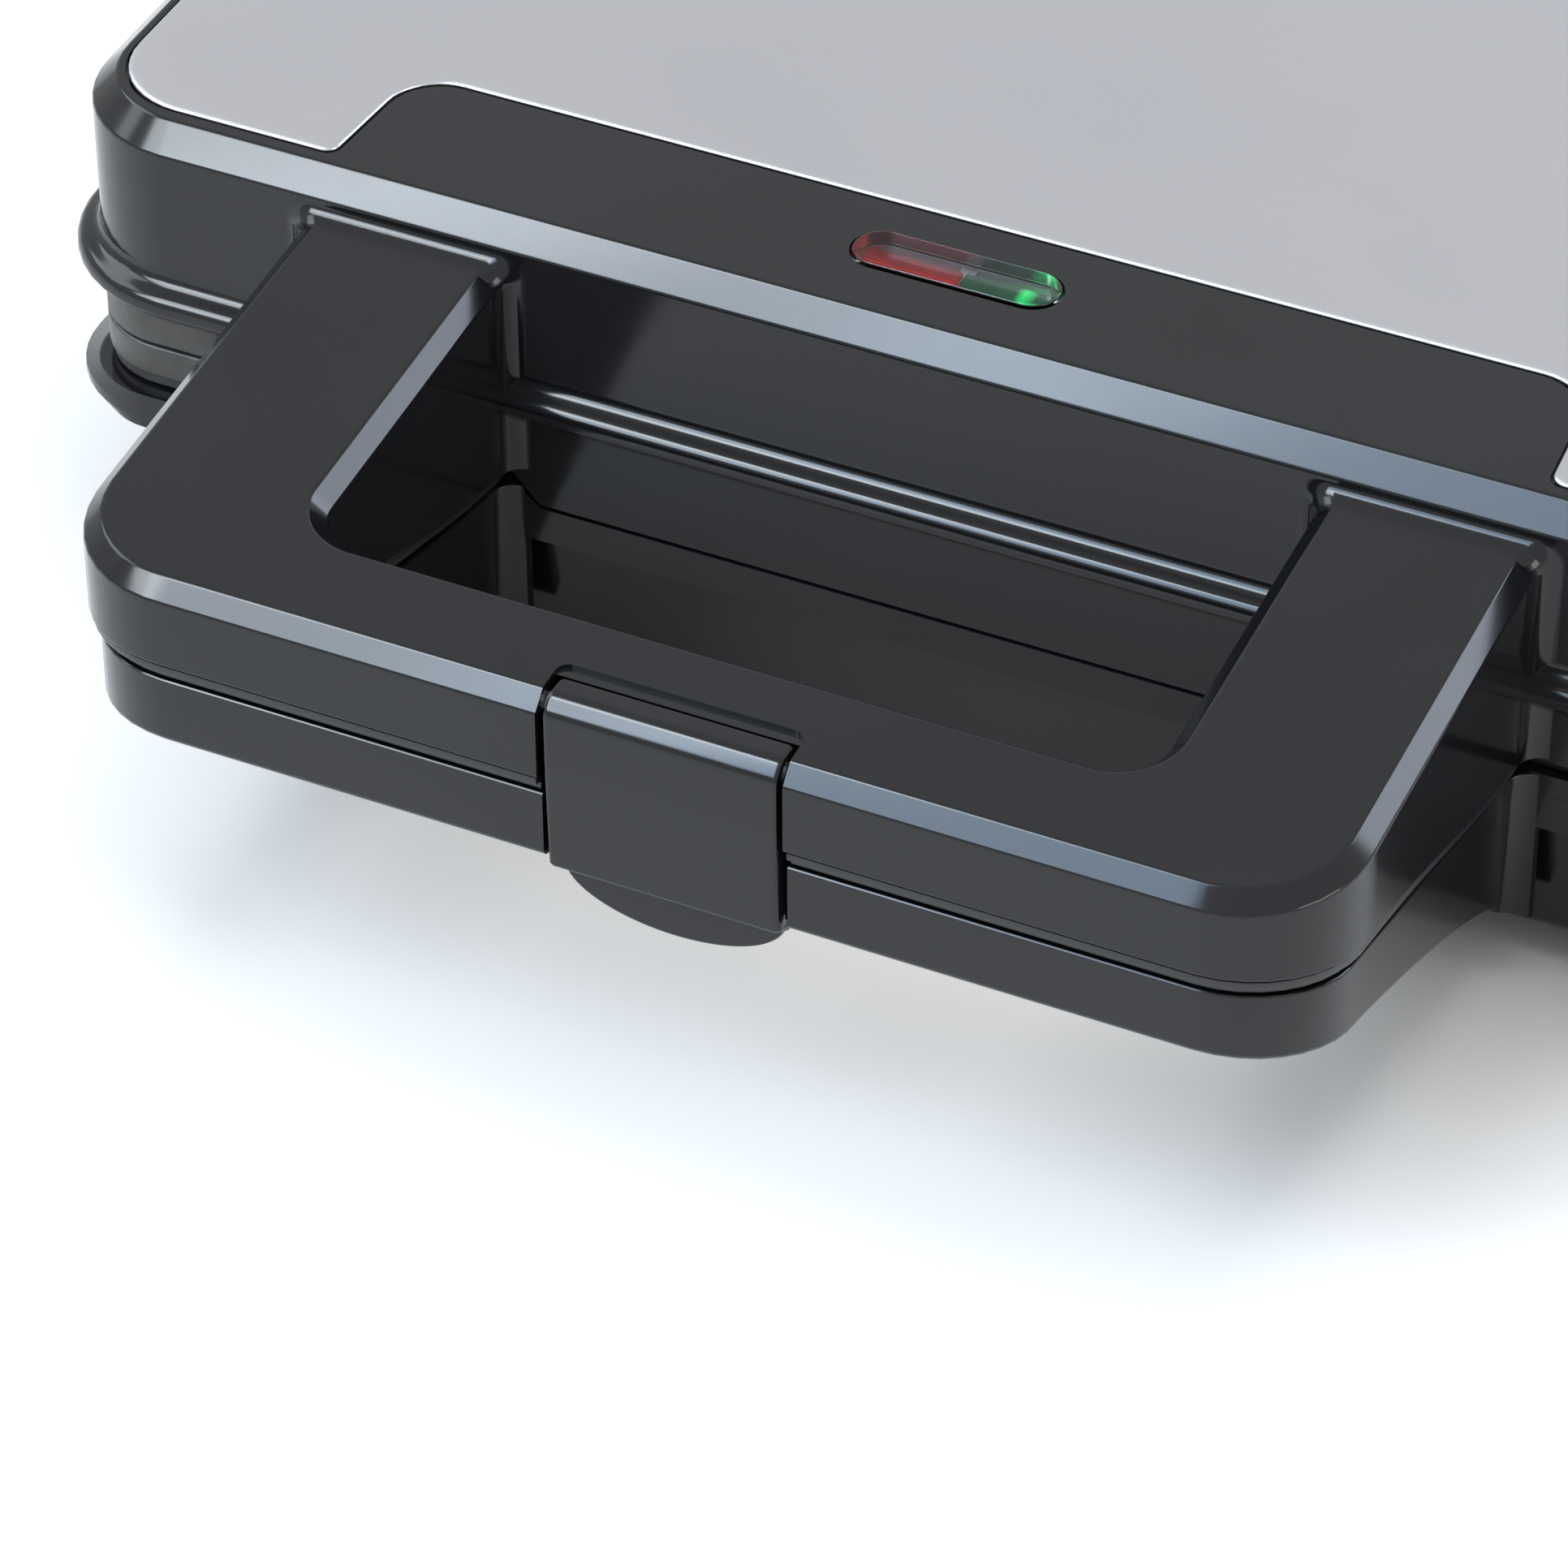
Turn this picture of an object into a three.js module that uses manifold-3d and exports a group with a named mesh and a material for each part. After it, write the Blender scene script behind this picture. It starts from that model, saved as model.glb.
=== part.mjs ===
// Mini donut maker: a hinged clamshell appliance with a two-part U handle in front.
// Millimetres, +Z up, +Y towards the hinge at the back, origin on the floor under the
// middle of the bounding box.
import * as THREE from 'three';
import { mergeVertices } from 'three/addons/utils/BufferGeometryUtils.js';
import Module from 'manifold-3d';

const wasm = await Module();
wasm.setup();

// ---------------------------------------------------------------- driving dimensions
const COVER_HALF = 115;          // half width of the cover's wall
const BODY_DEPTH = 215;          // front wall to rear wall
const HANDLE_REACH = 66.2;       // handle front, ahead of the front wall
const REAR_BOSS = 14.5;          // cord boss, behind the rear wall
const GLAND_PROUD = 2;           // cord gland's flange, behind the boss
const TOP_Z = 71;                // cover's top face above the floor
const GAP = 0.3;                 // clearance between touching pieces

const TOTAL_DEPTH = HANDLE_REACH + BODY_DEPTH + REAR_BOSS + GLAND_PROUD;
const FRONT_WALL_Y = HANDLE_REACH - TOTAL_DEPTH / 2;
const CENTRE_Y = FRONT_WALL_Y + BODY_DEPTH / 2;

// Heights are given as depths below the cover's top face, and places in Y as distances
// behind the front wall.
const z = (depth) => TOP_Z - depth;
const y = (distance) => FRONT_WALL_Y + distance;

const CORNER = 16;               // plan radius of the body's corners
const COVER_CHAMFER = 3.3;
const SHELL = 2.5;               // wall thickness of the mouldings
const COVER_EDGE = 27;           // depth of the cover's lower edge
const SKIRT_HALF = 92.7;         // front skirt half width
const SKIRT_THICK = 1.6;
const SKIRT_DROP = 39.5;         // skirt's lower edge between the arms
const SKIRT_SIDE_DROP = 35;      // and outboard of the arms' inner faces
const PARTING_HALF = 48.4;       // where the skirt steps down

const HANDLE_HALF = 79.3;        // outer faces of the arms
const HANDLE_CORNER = 15;
const OPENING_HALF = 52.4;       // inner faces of the arms
const OPENING_FRONT = 50.2;      // front bar's rear face, ahead of the front wall
const HANDLE_TOP = 5.45;         // depth of the arms' top at the front wall
const HANDLE_SLOPE = 0.083;      // top falls by this much per mm towards the front
const LOWER_INSET = 1.2;         // lower handle is this much slimmer all round
const HANDLE_WALL = 2.4;

const SEAL_LIP = 0.8;            // thickness of the liners' lips, between the handle halves
const LIP_INSET = 0.7;           // and how far behind the handle's faces they stop

const RIM_TOP = 40.6;            // lower housing's rim flange, where the plate sits on it
const RIM_EDGE = 43;             // top of its outer edge at the sides
const RIM_EDGE_THICK = 0.9;
const RIM_UNDER = 45.6;
const RIM_OUT = 2.9;             // overhang at the sides, and at the back
const RIM_REAR_OUT = 1.7;
const RIM_CORNER = 14;
const FLOOR = 65.5;              // underside of the lower housing

const PLATE_INSET = 2;           // cooking plates' rims, behind the front wall
const PLATE_HALF = 114;
const PLATE_CORNER = 11;
const UPPER_FACE = 33.9;         // plates' meeting faces
const LOWER_FACE = 34.3;
const UPPER_RIM = 27.3;
const LOWER_RIM = 40.3;
const WEB = 3.2;                 // plate thickness between the rings
const RING_OUTER = 28.5;         // donut ring's outer and inner radius
const RING_INNER = 9.5;
const RING_DEPTH = 11.4;
const RING_PITCH = 66;
const RING_ROW = 57.5;
const CUP_WALL = 2;

const HINGE_Y = 219;             // hinge axis, behind the front wall
const HINGE_Z = 34;              // and below the top face
const HINGE_X = 72;              // middle of each knuckle
const KNUCKLE_HALF = 9;
const KNUCKLE_R = 5.2;
const EAR = 5;
const HINGE_PIN_R = 2;

const LATCH_HALF = 14.6;
const NOTCH_HALF = 15.3;
const LATCH_Y = -62.6;           // latch pin axis
const LATCH_Z = 13.7;
const LATCH_BARREL = 2.7;
const LATCH_PIN_R = 1.3;
const BLOCK_HALF = 19;           // solid block round the latch notch
const BLOCK_BACK = -56.8;
const ARM_X = 66;                // handle screws, in the arms
const ARM_SCREW_Y = -30;

const SCREW_X = 98;              // plate screws, from the middle
const SCREW_Y = 88;
const SHANK_R = 1.9;
const HEAD_R = 3.8;
const BOSS_R = 5;
const HOLE_R = SHANK_R + GAP;

const GLAND_R = 5.2;             // cord gland's barrel
const GLAND_Z = 50;              // its axis, below the top face
const FOOT_X = 90;               // feet, from the middle
const FOOT_Y = 72;
const LENS_Y = 14.8;
const LENS_LENGTH = 26.6;
const LENS_WIDTH = 7.2;

// ------------------------------------------------------------------------- materials
function material(color, roughness, metalness) {
  return new THREE.MeshStandardMaterial({ color, roughness, metalness });
}

const blackPlastic = () => material(0x1d1e20, 0.25, 0);
const darkPlastic = () => material(0x17181a, 0.45, 0);
const brushedSteel = () => material(0xb4b6c0, 0.32, 1);
const zincSteel = () => material(0x9c9fa3, 0.4, 1);
const aluminiumSheet = () => material(0xc3c5c8, 0.35, 1);
const coatedPlate = () => material(0x3a3b3d, 0.5, 0.3);
const rubber = () => material(0x202122, 0.9, 0);

// -------------------------------------------------------------------- solid building
function toSolid(geometry) {
  const bare = geometry.clone();
  bare.deleteAttribute('normal');
  bare.deleteAttribute('uv');
  const merged = mergeVertices(bare, 1e-4);
  const vertProperties = new Float32Array(merged.attributes.position.array);
  const corners = Array.from(merged.index.array);
  const kept = [];
  for (let i = 0; i < corners.length; i += 3) {
    const [a, b, c] = corners.slice(i, i + 3);
    if (a !== b && b !== c && c !== a) kept.push(a, b, c);
  }
  const triVerts = new Uint32Array(kept);
  return new wasm.Manifold(new wasm.Mesh({ numProp: 3, vertProperties, triVerts }));
}

function toGeometry(solid) {
  const mesh = solid.getMesh();
  const geometry = new THREE.BufferGeometry();
  geometry.setAttribute('position', new THREE.BufferAttribute(mesh.vertProperties, 3));
  geometry.setIndex(new THREE.BufferAttribute(mesh.triVerts, 1));
  geometry.computeVertexNormals();
  return geometry;
}

function join(...solids) {
  return solids.reduce((whole, piece) => whole.add(piece));
}

function cut(solid, ...tools) {
  return tools.reduce((rest, tool) => rest.subtract(tool), solid);
}

// Closed plan outline of a rectangle with its own radius at each corner, anticlockwise
// from the front left.
function roundedLoop(x0, y0, x1, y1, radii, steps = 5) {
  const corners = [
    [x0, y0, 1, 1, Math.PI],
    [x1, y0, -1, 1, 1.5 * Math.PI],
    [x1, y1, -1, -1, 0],
    [x0, y1, 1, -1, 0.5 * Math.PI],
  ];
  return corners.flatMap(([cx, cy, sx, sy, start], corner) => {
    const radius = radii[corner];
    return Array.from({ length: steps + 1 }, (_, step) => {
      const angle = start + (step / steps) * 0.5 * Math.PI;
      const px = cx + sx * radius + radius * Math.cos(angle);
      const py = cy + sy * radius + radius * Math.sin(angle);
      return new THREE.Vector2(px, py);
    });
  });
}

// Symmetric plan outline between two distances behind the front wall.
function planLoop(half, front, rear, radius) {
  return roundedLoop(-half, y(front), half, y(rear), [radius, radius, radius, radius]);
}

// Body outline, moved outwards by offset.
function bodyLoop(offset) {
  const radius = Math.max(CORNER + offset, 2);
  return planLoop(COVER_HALF + offset, -offset, BODY_DEPTH + offset, radius);
}

// Rim of a cooking plate, moved inwards by inset.
function plateLoop(inset) {
  const rear = BODY_DEPTH - PLATE_INSET - inset;
  return planLoop(PLATE_HALF - inset, PLATE_INSET + inset, rear, PLATE_CORNER - inset);
}

// Lower housing's rim: it overhangs at the sides and the back, and is flush in front.
function rimLoop(out) {
  const rear = BODY_DEPTH + Math.min(out, RIM_REAR_OUT);
  return planLoop(COVER_HALF + out, 0, rear, RIM_CORNER + out - RIM_OUT);
}

// Solid through plan outlines with equal point counts, sheared by a matrix if given.
function loft(outlines, matrix = new THREE.Matrix4()) {
  const levels = [...outlines].sort((a, b) => a.height - b.height);
  const count = levels[0].loop.length;
  const positions = levels.flatMap(({ loop, height }) => loop.flatMap((p) => [p.x, p.y, height]));
  const index = [];
  for (let level = 0; level < levels.length - 1; level += 1) {
    const low = level * count;
    const high = low + count;
    for (let i = 0; i < count; i += 1) {
      const next = (i + 1) % count;
      index.push(low + i, low + next, high + next);
      index.push(low + i, high + next, high + i);
    }
  }
  const last = (levels.length - 1) * count;
  for (const [a, b, c] of THREE.ShapeUtils.triangulateShape(levels[0].loop, [])) {
    index.push(c, b, a);
  }
  for (const [a, b, c] of THREE.ShapeUtils.triangulateShape(levels.at(-1).loop, [])) {
    index.push(last + a, last + b, last + c);
  }
  const geometry = new THREE.BufferGeometry();
  geometry.setAttribute('position', new THREE.Float32BufferAttribute(positions, 3));
  geometry.setIndex(index);
  return toSolid(geometry.applyMatrix4(matrix));
}

function extrude(shape, length, curveSegments = 6) {
  return new THREE.ExtrudeGeometry(shape, { depth: length, bevelEnabled: false, curveSegments });
}

// Upright prism of a plan shape between two heights.
function prism(shape, low, high, curveSegments = 6) {
  return toSolid(extrude(shape, high - low, curveSegments).translate(0, 0, low));
}

// Prism along X of a side profile given as (y, z) points.
function sidePrism(points, x0, x1) {
  const shape = new THREE.Shape(points.map(([py, pz]) => new THREE.Vector2(py, pz)));
  const axes = new THREE.Matrix4().makeBasis(
    new THREE.Vector3(0, 1, 0),
    new THREE.Vector3(0, 0, 1),
    new THREE.Vector3(1, 0, 0),
  );
  return toSolid(extrude(shape, x1 - x0).applyMatrix4(axes).translate(x0, 0, 0));
}

// Prism along Y of a front profile given as (x, z) points.
function frontPrism(points, y0, y1) {
  const shape = new THREE.Shape(points.map(([px, pz]) => new THREE.Vector2(px, pz)));
  return toSolid(extrude(shape, y1 - y0).rotateX(0.5 * Math.PI).translate(0, y1, 0));
}

function box(x0, y0, z0, x1, y1, z1) {
  const geometry = new THREE.BoxGeometry(x1 - x0, y1 - y0, z1 - z0);
  return toSolid(geometry.translate((x0 + x1) / 2, (y0 + y1) / 2, (z0 + z1) / 2));
}

// Turned surface from (radius, height) points that start and end on the axis or close on
// themselves. A turned solid stands upright; a lathe's own axis is Y.
function lathe(profile, segments) {
  const points = profile.map(([r, h]) => new THREE.Vector2(r, h));
  if (THREE.ShapeUtils.area(points) < 0) points.reverse();
  return new THREE.LatheGeometry(points, segments);
}

function turned(profile, cx, cy, segments = 14) {
  return toSolid(lathe(profile, segments).rotateX(0.5 * Math.PI).translate(cx, cy, 0));
}

function post(cx, cy, radius, low, high, segments = 14) {
  return turned([[0, low], [radius, low], [radius, high], [0, high]], cx, cy, segments);
}

// Cylinder along X.
function rod(x0, x1, cy, cz, radius, segments = 14) {
  const geometry = new THREE.CylinderGeometry(radius, radius, x1 - x0, segments);
  return toSolid(geometry.rotateZ(0.5 * Math.PI).translate((x0 + x1) / 2, cy, cz));
}

function obround(length, width, cy) {
  const half = length / 2 - width / 2;
  const radius = width / 2;
  const shape = new THREE.Shape();
  shape.moveTo(-half, cy - radius);
  shape.lineTo(half, cy - radius);
  shape.absarc(half, cy, radius, -0.5 * Math.PI, 0.5 * Math.PI, false);
  shape.lineTo(-half, cy + radius);
  shape.absarc(-half, cy, radius, 0.5 * Math.PI, 1.5 * Math.PI, false);
  return shape;
}

const fourCorners = [[-1, -1, 'front_left'], [1, -1, 'front_right'], [-1, 1, 'rear_left'],
  [1, 1, 'rear_right']];

// --------------------------------------------------------------------------- U handle
// Parting lines of the two handle halves and the lower half's underside, as
// (distance behind the front wall, depth) pairs from the front bar to the root.
const UPPER_PARTING = [[-70, 22.2], [-64, 22.6], [-42, 25.6], [-3, 35], [3, 35]];
const LOWER_PARTING = [[-70, 25.1], [-62, 25.8], [-36, 30.6], [-3, 37.6], [SKIRT_THICK, 37.6],
  [SKIRT_THICK, RIM_TOP + 0.6], [5.4, RIM_TOP + 0.6]];
const UNDERSIDE = [[-70, 34], [-64, 35], [-46, 39.2], [-8, 54.5], [3, 62], [5.4, 62]];

function band(upperLine, upperShift, lowerLine, lowerShift) {
  const upper = upperLine.map(([py, depth]) => [y(py), z(depth + upperShift)]);
  const lower = lowerLine.map(([py, depth]) => [y(py), z(depth + lowerShift)]);
  return sidePrism([...lower, ...upper.reverse()], -100, 100);
}

// Shear that lets the upper handle fall towards the front.
const LEAN = new THREE.Matrix4().set(
  1, 0, 0, 0,
  0, 1, 0, 0,
  0, HANDLE_SLOPE, 1, -HANDLE_SLOPE * FRONT_WALL_Y,
  0, 0, 0, 1,
);

// U-shaped ring in plan: the outer faces move in by inset and the opening's faces move
// into the material by the same amount. The upper edges take the chamfer.
function handleRing(inset, top, chamfer, rear, matrix) {
  const outer = (extra) => {
    const half = HANDLE_HALF - inset - extra;
    const radius = Math.max(HANDLE_CORNER - inset - extra, 2);
    const front = y(-HANDLE_REACH + inset + extra);
    return roundedLoop(-half, front, half, rear, [radius, radius, 0.2, 0.2]);
  };
  const opening = (extra) => {
    const half = OPENING_HALF + inset + extra;
    const front = y(-OPENING_FRONT - inset - extra);
    return roundedLoop(-half, front, half, y(0) + 20, [5, 5, 0.2, 0.2]);
  };
  const low = z(75);
  const block = loft([
    { loop: outer(0), height: low },
    { loop: outer(0), height: top - chamfer },
    { loop: outer(chamfer), height: top },
  ], matrix);
  const hole = loft([
    { loop: opening(0), height: low - 1 },
    { loop: opening(0), height: top - chamfer },
    { loop: opening(chamfer + 1), height: top + 1 },
  ], matrix);
  return { block, hole };
}

function handleBosses(radius) {
  return [-1, 1].map((side) => post(side * ARM_X, y(ARM_SCREW_Y), radius, z(75), z(0)));
}

function upperHandle() {
  const skin = handleRing(0, z(HANDLE_TOP), 2.2, y(1.5), LEAN);
  const core = handleRing(HANDLE_WALL, z(HANDLE_TOP + 2.6), 1, y(-HANDLE_WALL), LEAN);
  const channel = cut(core.block, core.hole, latchBlock());
  const linerRoom = channel.intersect(band(UPPER_PARTING, -3.7, UPPER_PARTING, 9));
  const hollow = join(cut(channel, ...handleBosses(4)), linerRoom);
  const shape = cut(skin.block, skin.hole, hollow);
  return shape.intersect(band([[-70, 0], [3, 0]], 0, UPPER_PARTING, 0));
}

function lowerHandle() {
  const skin = handleRing(LOWER_INSET, z(10), 0.01, y(5.4));
  const core = handleRing(LOWER_INSET + HANDLE_WALL, z(10), 0.01, y(-HANDLE_WALL));
  const channel = cut(core.block, core.hole, latchBlock())
    .intersect(band([[-70, 0], [3, 0]], 0, UNDERSIDE, -HANDLE_WALL));
  const linerRoom = channel.intersect(band(LOWER_PARTING, -9, [[-70, 37.4], [3, 37.4]], 0));
  const trough = join(cut(channel, ...handleBosses(HEAD_R + 2)), linerRoom);
  return cut(skin.block, skin.hole, trough).intersect(band(LOWER_PARTING, 0, UNDERSIDE, 0));
}

function latchBlock() {
  return box(-BLOCK_HALF, y(-80), z(80), BLOCK_HALF, y(BLOCK_BACK), z(-10));
}

// U-shaped strip that follows a parting line, from above it to below it.
function handleLiner(inset, line, above, below) {
  const ring = handleRing(inset, z(10), 0.01, y(-2.8));
  const clear = box(-BLOCK_HALF - GAP, y(-80), z(80), BLOCK_HALF + GAP, y(BLOCK_BACK + GAP), z(-10));
  return cut(ring.block, ring.hole, clear).intersect(band(line, -above, line, below));
}

// Thin lip of a liner that nearly closes the gap between the handle halves.
function linerLip(inset, line, shift) {
  const ring = handleRing(inset, z(10), 0.01, y(-GAP));
  const side = NOTCH_HALF + GAP;
  const notch = box(-side, y(-80), z(80), side, y(BLOCK_BACK + GAP), z(-10));
  return cut(ring.block, ring.hole, notch).intersect(band(line, shift, line, shift + SEAL_LIP));
}

function upperHandleLiner() {
  const strip = join(
    handleLiner(HANDLE_WALL + GAP, UPPER_PARTING, 3.4, 0.7),
    linerLip(LIP_INSET, UPPER_PARTING, GAP),
  );
  const holes = [-1, 1].flatMap((side) => [
    post(side * ARM_X, y(ARM_SCREW_Y), HEAD_R + GAP, z(40), z(26)),
    post(side * ARM_X, y(ARM_SCREW_Y), HOLE_R, z(40), z(20)),
  ]);
  return cut(strip, ...holes);
}

function lowerHandleLiner() {
  const line = LOWER_PARTING.slice(0, 5);
  const strip = join(
    handleLiner(LOWER_INSET + HANDLE_WALL + GAP, line, 1.2, 0.8),
    linerLip(LOWER_INSET + LIP_INSET, line, -GAP - SEAL_LIP),
  );
  const bosses = [-1, 1].map((side) => post(side * ARM_X, y(ARM_SCREW_Y), 4, z(37.1), z(31.8)));
  const holes = [-1, 1].map((side) => post(side * ARM_X, y(ARM_SCREW_Y), HOLE_R, z(40), z(33)));
  return cut(join(strip, ...bosses), ...holes);
}

// -------------------------------------------------------------------------- lid parts
function inlayShape(grow) {
  const half = 110.5 + grow;
  const front = y(5.2 - grow);
  const rear = y(BODY_DEPTH - 5.2 + grow);
  const stepBack = y(24.4 - grow);
  const lobe = 77.9 - grow;
  const waist = 76.7 - grow;
  const r = 11;
  const shape = new THREE.Shape();
  shape.moveTo(-half + r, front);
  shape.lineTo(-lobe - 2, front);
  shape.quadraticCurveTo(-lobe, front, -lobe + 0.1, front + 2);
  shape.lineTo(-waist, stepBack - 8);
  shape.quadraticCurveTo(-waist + 0.8, stepBack, -waist + 8, stepBack);
  shape.lineTo(waist - 8, stepBack);
  shape.quadraticCurveTo(waist - 0.8, stepBack, waist, stepBack - 8);
  shape.lineTo(lobe - 0.1, front + 2);
  shape.quadraticCurveTo(lobe, front, lobe + 2, front);
  shape.lineTo(half - r, front);
  shape.absarc(half - r, front + r, r, -0.5 * Math.PI, 0, false);
  shape.absarc(half - r, rear - r, r, 0, 0.5 * Math.PI, false);
  shape.absarc(-half + r, rear - r, r, 0.5 * Math.PI, Math.PI, false);
  shape.absarc(-half + r, front + r, r, Math.PI, 1.5 * Math.PI, false);
  return shape;
}

function lensPrism(grow, low, high) {
  return prism(obround(LENS_LENGTH + 2 * grow, LENS_WIDTH + 2 * grow, y(LENS_Y)), low, high, 5);
}

function hingeKnuckle(side) {
  const axisY = y(HINGE_Y);
  const axisZ = z(HINGE_Z);
  const x0 = side * HINGE_X - KNUCKLE_HALF;
  const x1 = side * HINGE_X + KNUCKLE_HALF;
  const web = sidePrism([
    [axisY - KNUCKLE_R, axisZ],
    [axisY + KNUCKLE_R, axisZ],
    [axisY + KNUCKLE_R, axisZ + 4],
    [y(BODY_DEPTH + 1), z(16)],
    [y(BODY_DEPTH - 1.5), z(16)],
    [y(BODY_DEPTH - 1.5), z(COVER_EDGE - 0.5)],
    [axisY - KNUCKLE_R, z(COVER_EDGE - 0.5)],
  ], x0, x1);
  return join(rod(x0, x1, axisY, axisZ, KNUCKLE_R, 18), web);
}

function upperCover() {
  const outside = loft([
    { loop: bodyLoop(0.4), height: z(COVER_EDGE) },
    { loop: bodyLoop(2.2), height: z(26.2) },
    { loop: bodyLoop(3.1), height: z(24.2) },
    { loop: bodyLoop(2.4), height: z(22.4) },
    { loop: bodyLoop(0.5), height: z(20.6) },
    { loop: bodyLoop(0), height: z(COVER_CHAMFER) },
    { loop: bodyLoop(-COVER_CHAMFER), height: z(0) },
  ]);
  const inside = loft([
    { loop: bodyLoop(-SHELL), height: z(COVER_EDGE + 1) },
    { loop: bodyLoop(-SHELL), height: z(6) },
    { loop: bodyLoop(-SHELL - 2.5), height: z(3.4) },
  ]);
  const skirt = frontPrism([
    [-SKIRT_HALF, z(20)],
    [-SKIRT_HALF, z(33)],
    [-SKIRT_HALF + 2, z(SKIRT_SIDE_DROP)],
    [-PARTING_HALF - 4, z(SKIRT_SIDE_DROP)],
    [-PARTING_HALF, z(SKIRT_DROP)],
    [PARTING_HALF, z(SKIRT_DROP)],
    [PARTING_HALF + 4, z(SKIRT_SIDE_DROP)],
    [SKIRT_HALF - 2, z(SKIRT_SIDE_DROP)],
    [SKIRT_HALF, z(33)],
    [SKIRT_HALF, z(20)],
  ], y(0), y(SKIRT_THICK));
  const posts = fourCorners.map(([sx, sy]) => (
    post(sx * SCREW_X, CENTRE_Y + sy * SCREW_Y, BOSS_R, z(10.3), z(2))));
  const wells = fourCorners.flatMap(([sx, sy]) => {
    const cy = CENTRE_Y + sy * SCREW_Y;
    return [
      post(sx * SCREW_X, cy, HEAD_R + GAP, z(3.6), z(-1)),
      post(sx * SCREW_X, cy, HOLE_R, z(12), z(3)),
    ];
  });
  const notch = box(-NOTCH_HALF, y(-80), z(80), NOTCH_HALF, y(LATCH_Y + LATCH_BARREL + 0.4), z(0));
  const pinHole = rod(-18 - GAP, 18 + GAP, y(LATCH_Y), z(LATCH_Z), LATCH_PIN_R + GAP);
  const hingeHoles = [-1, 1].map((side) => (
    rod(side * HINGE_X - 20, side * HINGE_X + 20, y(HINGE_Y), z(HINGE_Z), HINGE_PIN_R + GAP)));
  const linerHoles = [-1, 1].map((side) => (
    post(side * ARM_X, y(ARM_SCREW_Y), HOLE_R, z(40), z(16))));
  const shell = cut(join(outside, skirt, upperHandle()), inside);
  return cut(
    join(shell, ...posts, hingeKnuckle(-1), hingeKnuckle(1)),
    ...wells,
    notch,
    pinHole,
    ...hingeHoles,
    ...linerHoles,
    prism(inlayShape(GAP), z(0.8), z(-1)),
    lensPrism(GAP, z(6), z(-1)),
  );
}

function topInlayPanel() {
  return prism(inlayShape(0), z(0.5), z(-0.5));
}

function indicatorLens() {
  const crown = lensPrism(0, z(3), z(-0.5));
  return join(crown, lensPrism(-0.8, z(3), z(-0.9)));
}

function lampHolder() {
  const tray = box(-16, y(LENS_Y - 5.5), z(9.4), 16, y(LENS_Y + 5.5), z(3.7));
  const pockets = [-1, 1].map((side) => (
    box(side * 7.4 - 6.4, y(LENS_Y - 4), z(8), side * 7.4 + 6.4, y(LENS_Y + 4), z(3))));
  return cut(tray, ...pockets);
}

function lamp(side) {
  return rod(side * 7.4 - 5, side * 7.4 + 5, y(LENS_Y), z(5.8), 1.8, 10);
}

function latchPin() {
  return rod(-18, 18, y(LATCH_Y), z(LATCH_Z), LATCH_PIN_R, 12);
}

function latchClip() {
  const axisY = y(LATCH_Y);
  const axisZ = z(LATCH_Z);
  const face = y(-HANDLE_REACH);
  const side = sidePrism([
    [axisY - 1, axisZ - LATCH_BARREL],
    [face + 2.6, z(18)],
    [face + 2.6, z(34.9)],
    [y(-58.2), z(34.9)],
    [y(-58.2), z(36.8)],
    [y(-60.4), z(37.2)],
    [face + 1.8, z(36.2)],
    [face, z(34)],
    [face, z(13.4)],
    [face + 0.7, z(11.8)],
    [face + 2.2, z(11.1)],
    [axisY, axisZ + LATCH_BARREL],
  ], -LATCH_HALF, LATCH_HALF);
  const tabOutline = new THREE.Shape();
  tabOutline.moveTo(-LATCH_HALF + 0.6, z(36));
  tabOutline.absellipse(0, z(36.4), LATCH_HALF - 0.6, 7.6, Math.PI, 2 * Math.PI, false, 0);
  tabOutline.lineTo(LATCH_HALF - 0.6, z(36));
  const tab = toSolid(extrude(tabOutline, 2.2, 8).rotateX(0.5 * Math.PI).translate(0, y(-60.4), 0));
  const barrel = rod(-LATCH_HALF, LATCH_HALF, axisY, axisZ, LATCH_BARREL, 18);
  const bore = rod(-LATCH_HALF - 1, LATCH_HALF + 1, axisY, axisZ, LATCH_PIN_R + GAP, 12);
  return cut(join(side, tab, barrel), bore);
}

// -------------------------------------------------------------------- cooking plates
const ringCentres = [[-1, 0], [0, 0], [1, 0], [-0.5, -1], [0.5, -1], [-0.5, 1], [0.5, 1]]
  .map(([column, row]) => [column * RING_PITCH, CENTRE_Y + row * RING_ROW]);

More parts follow.
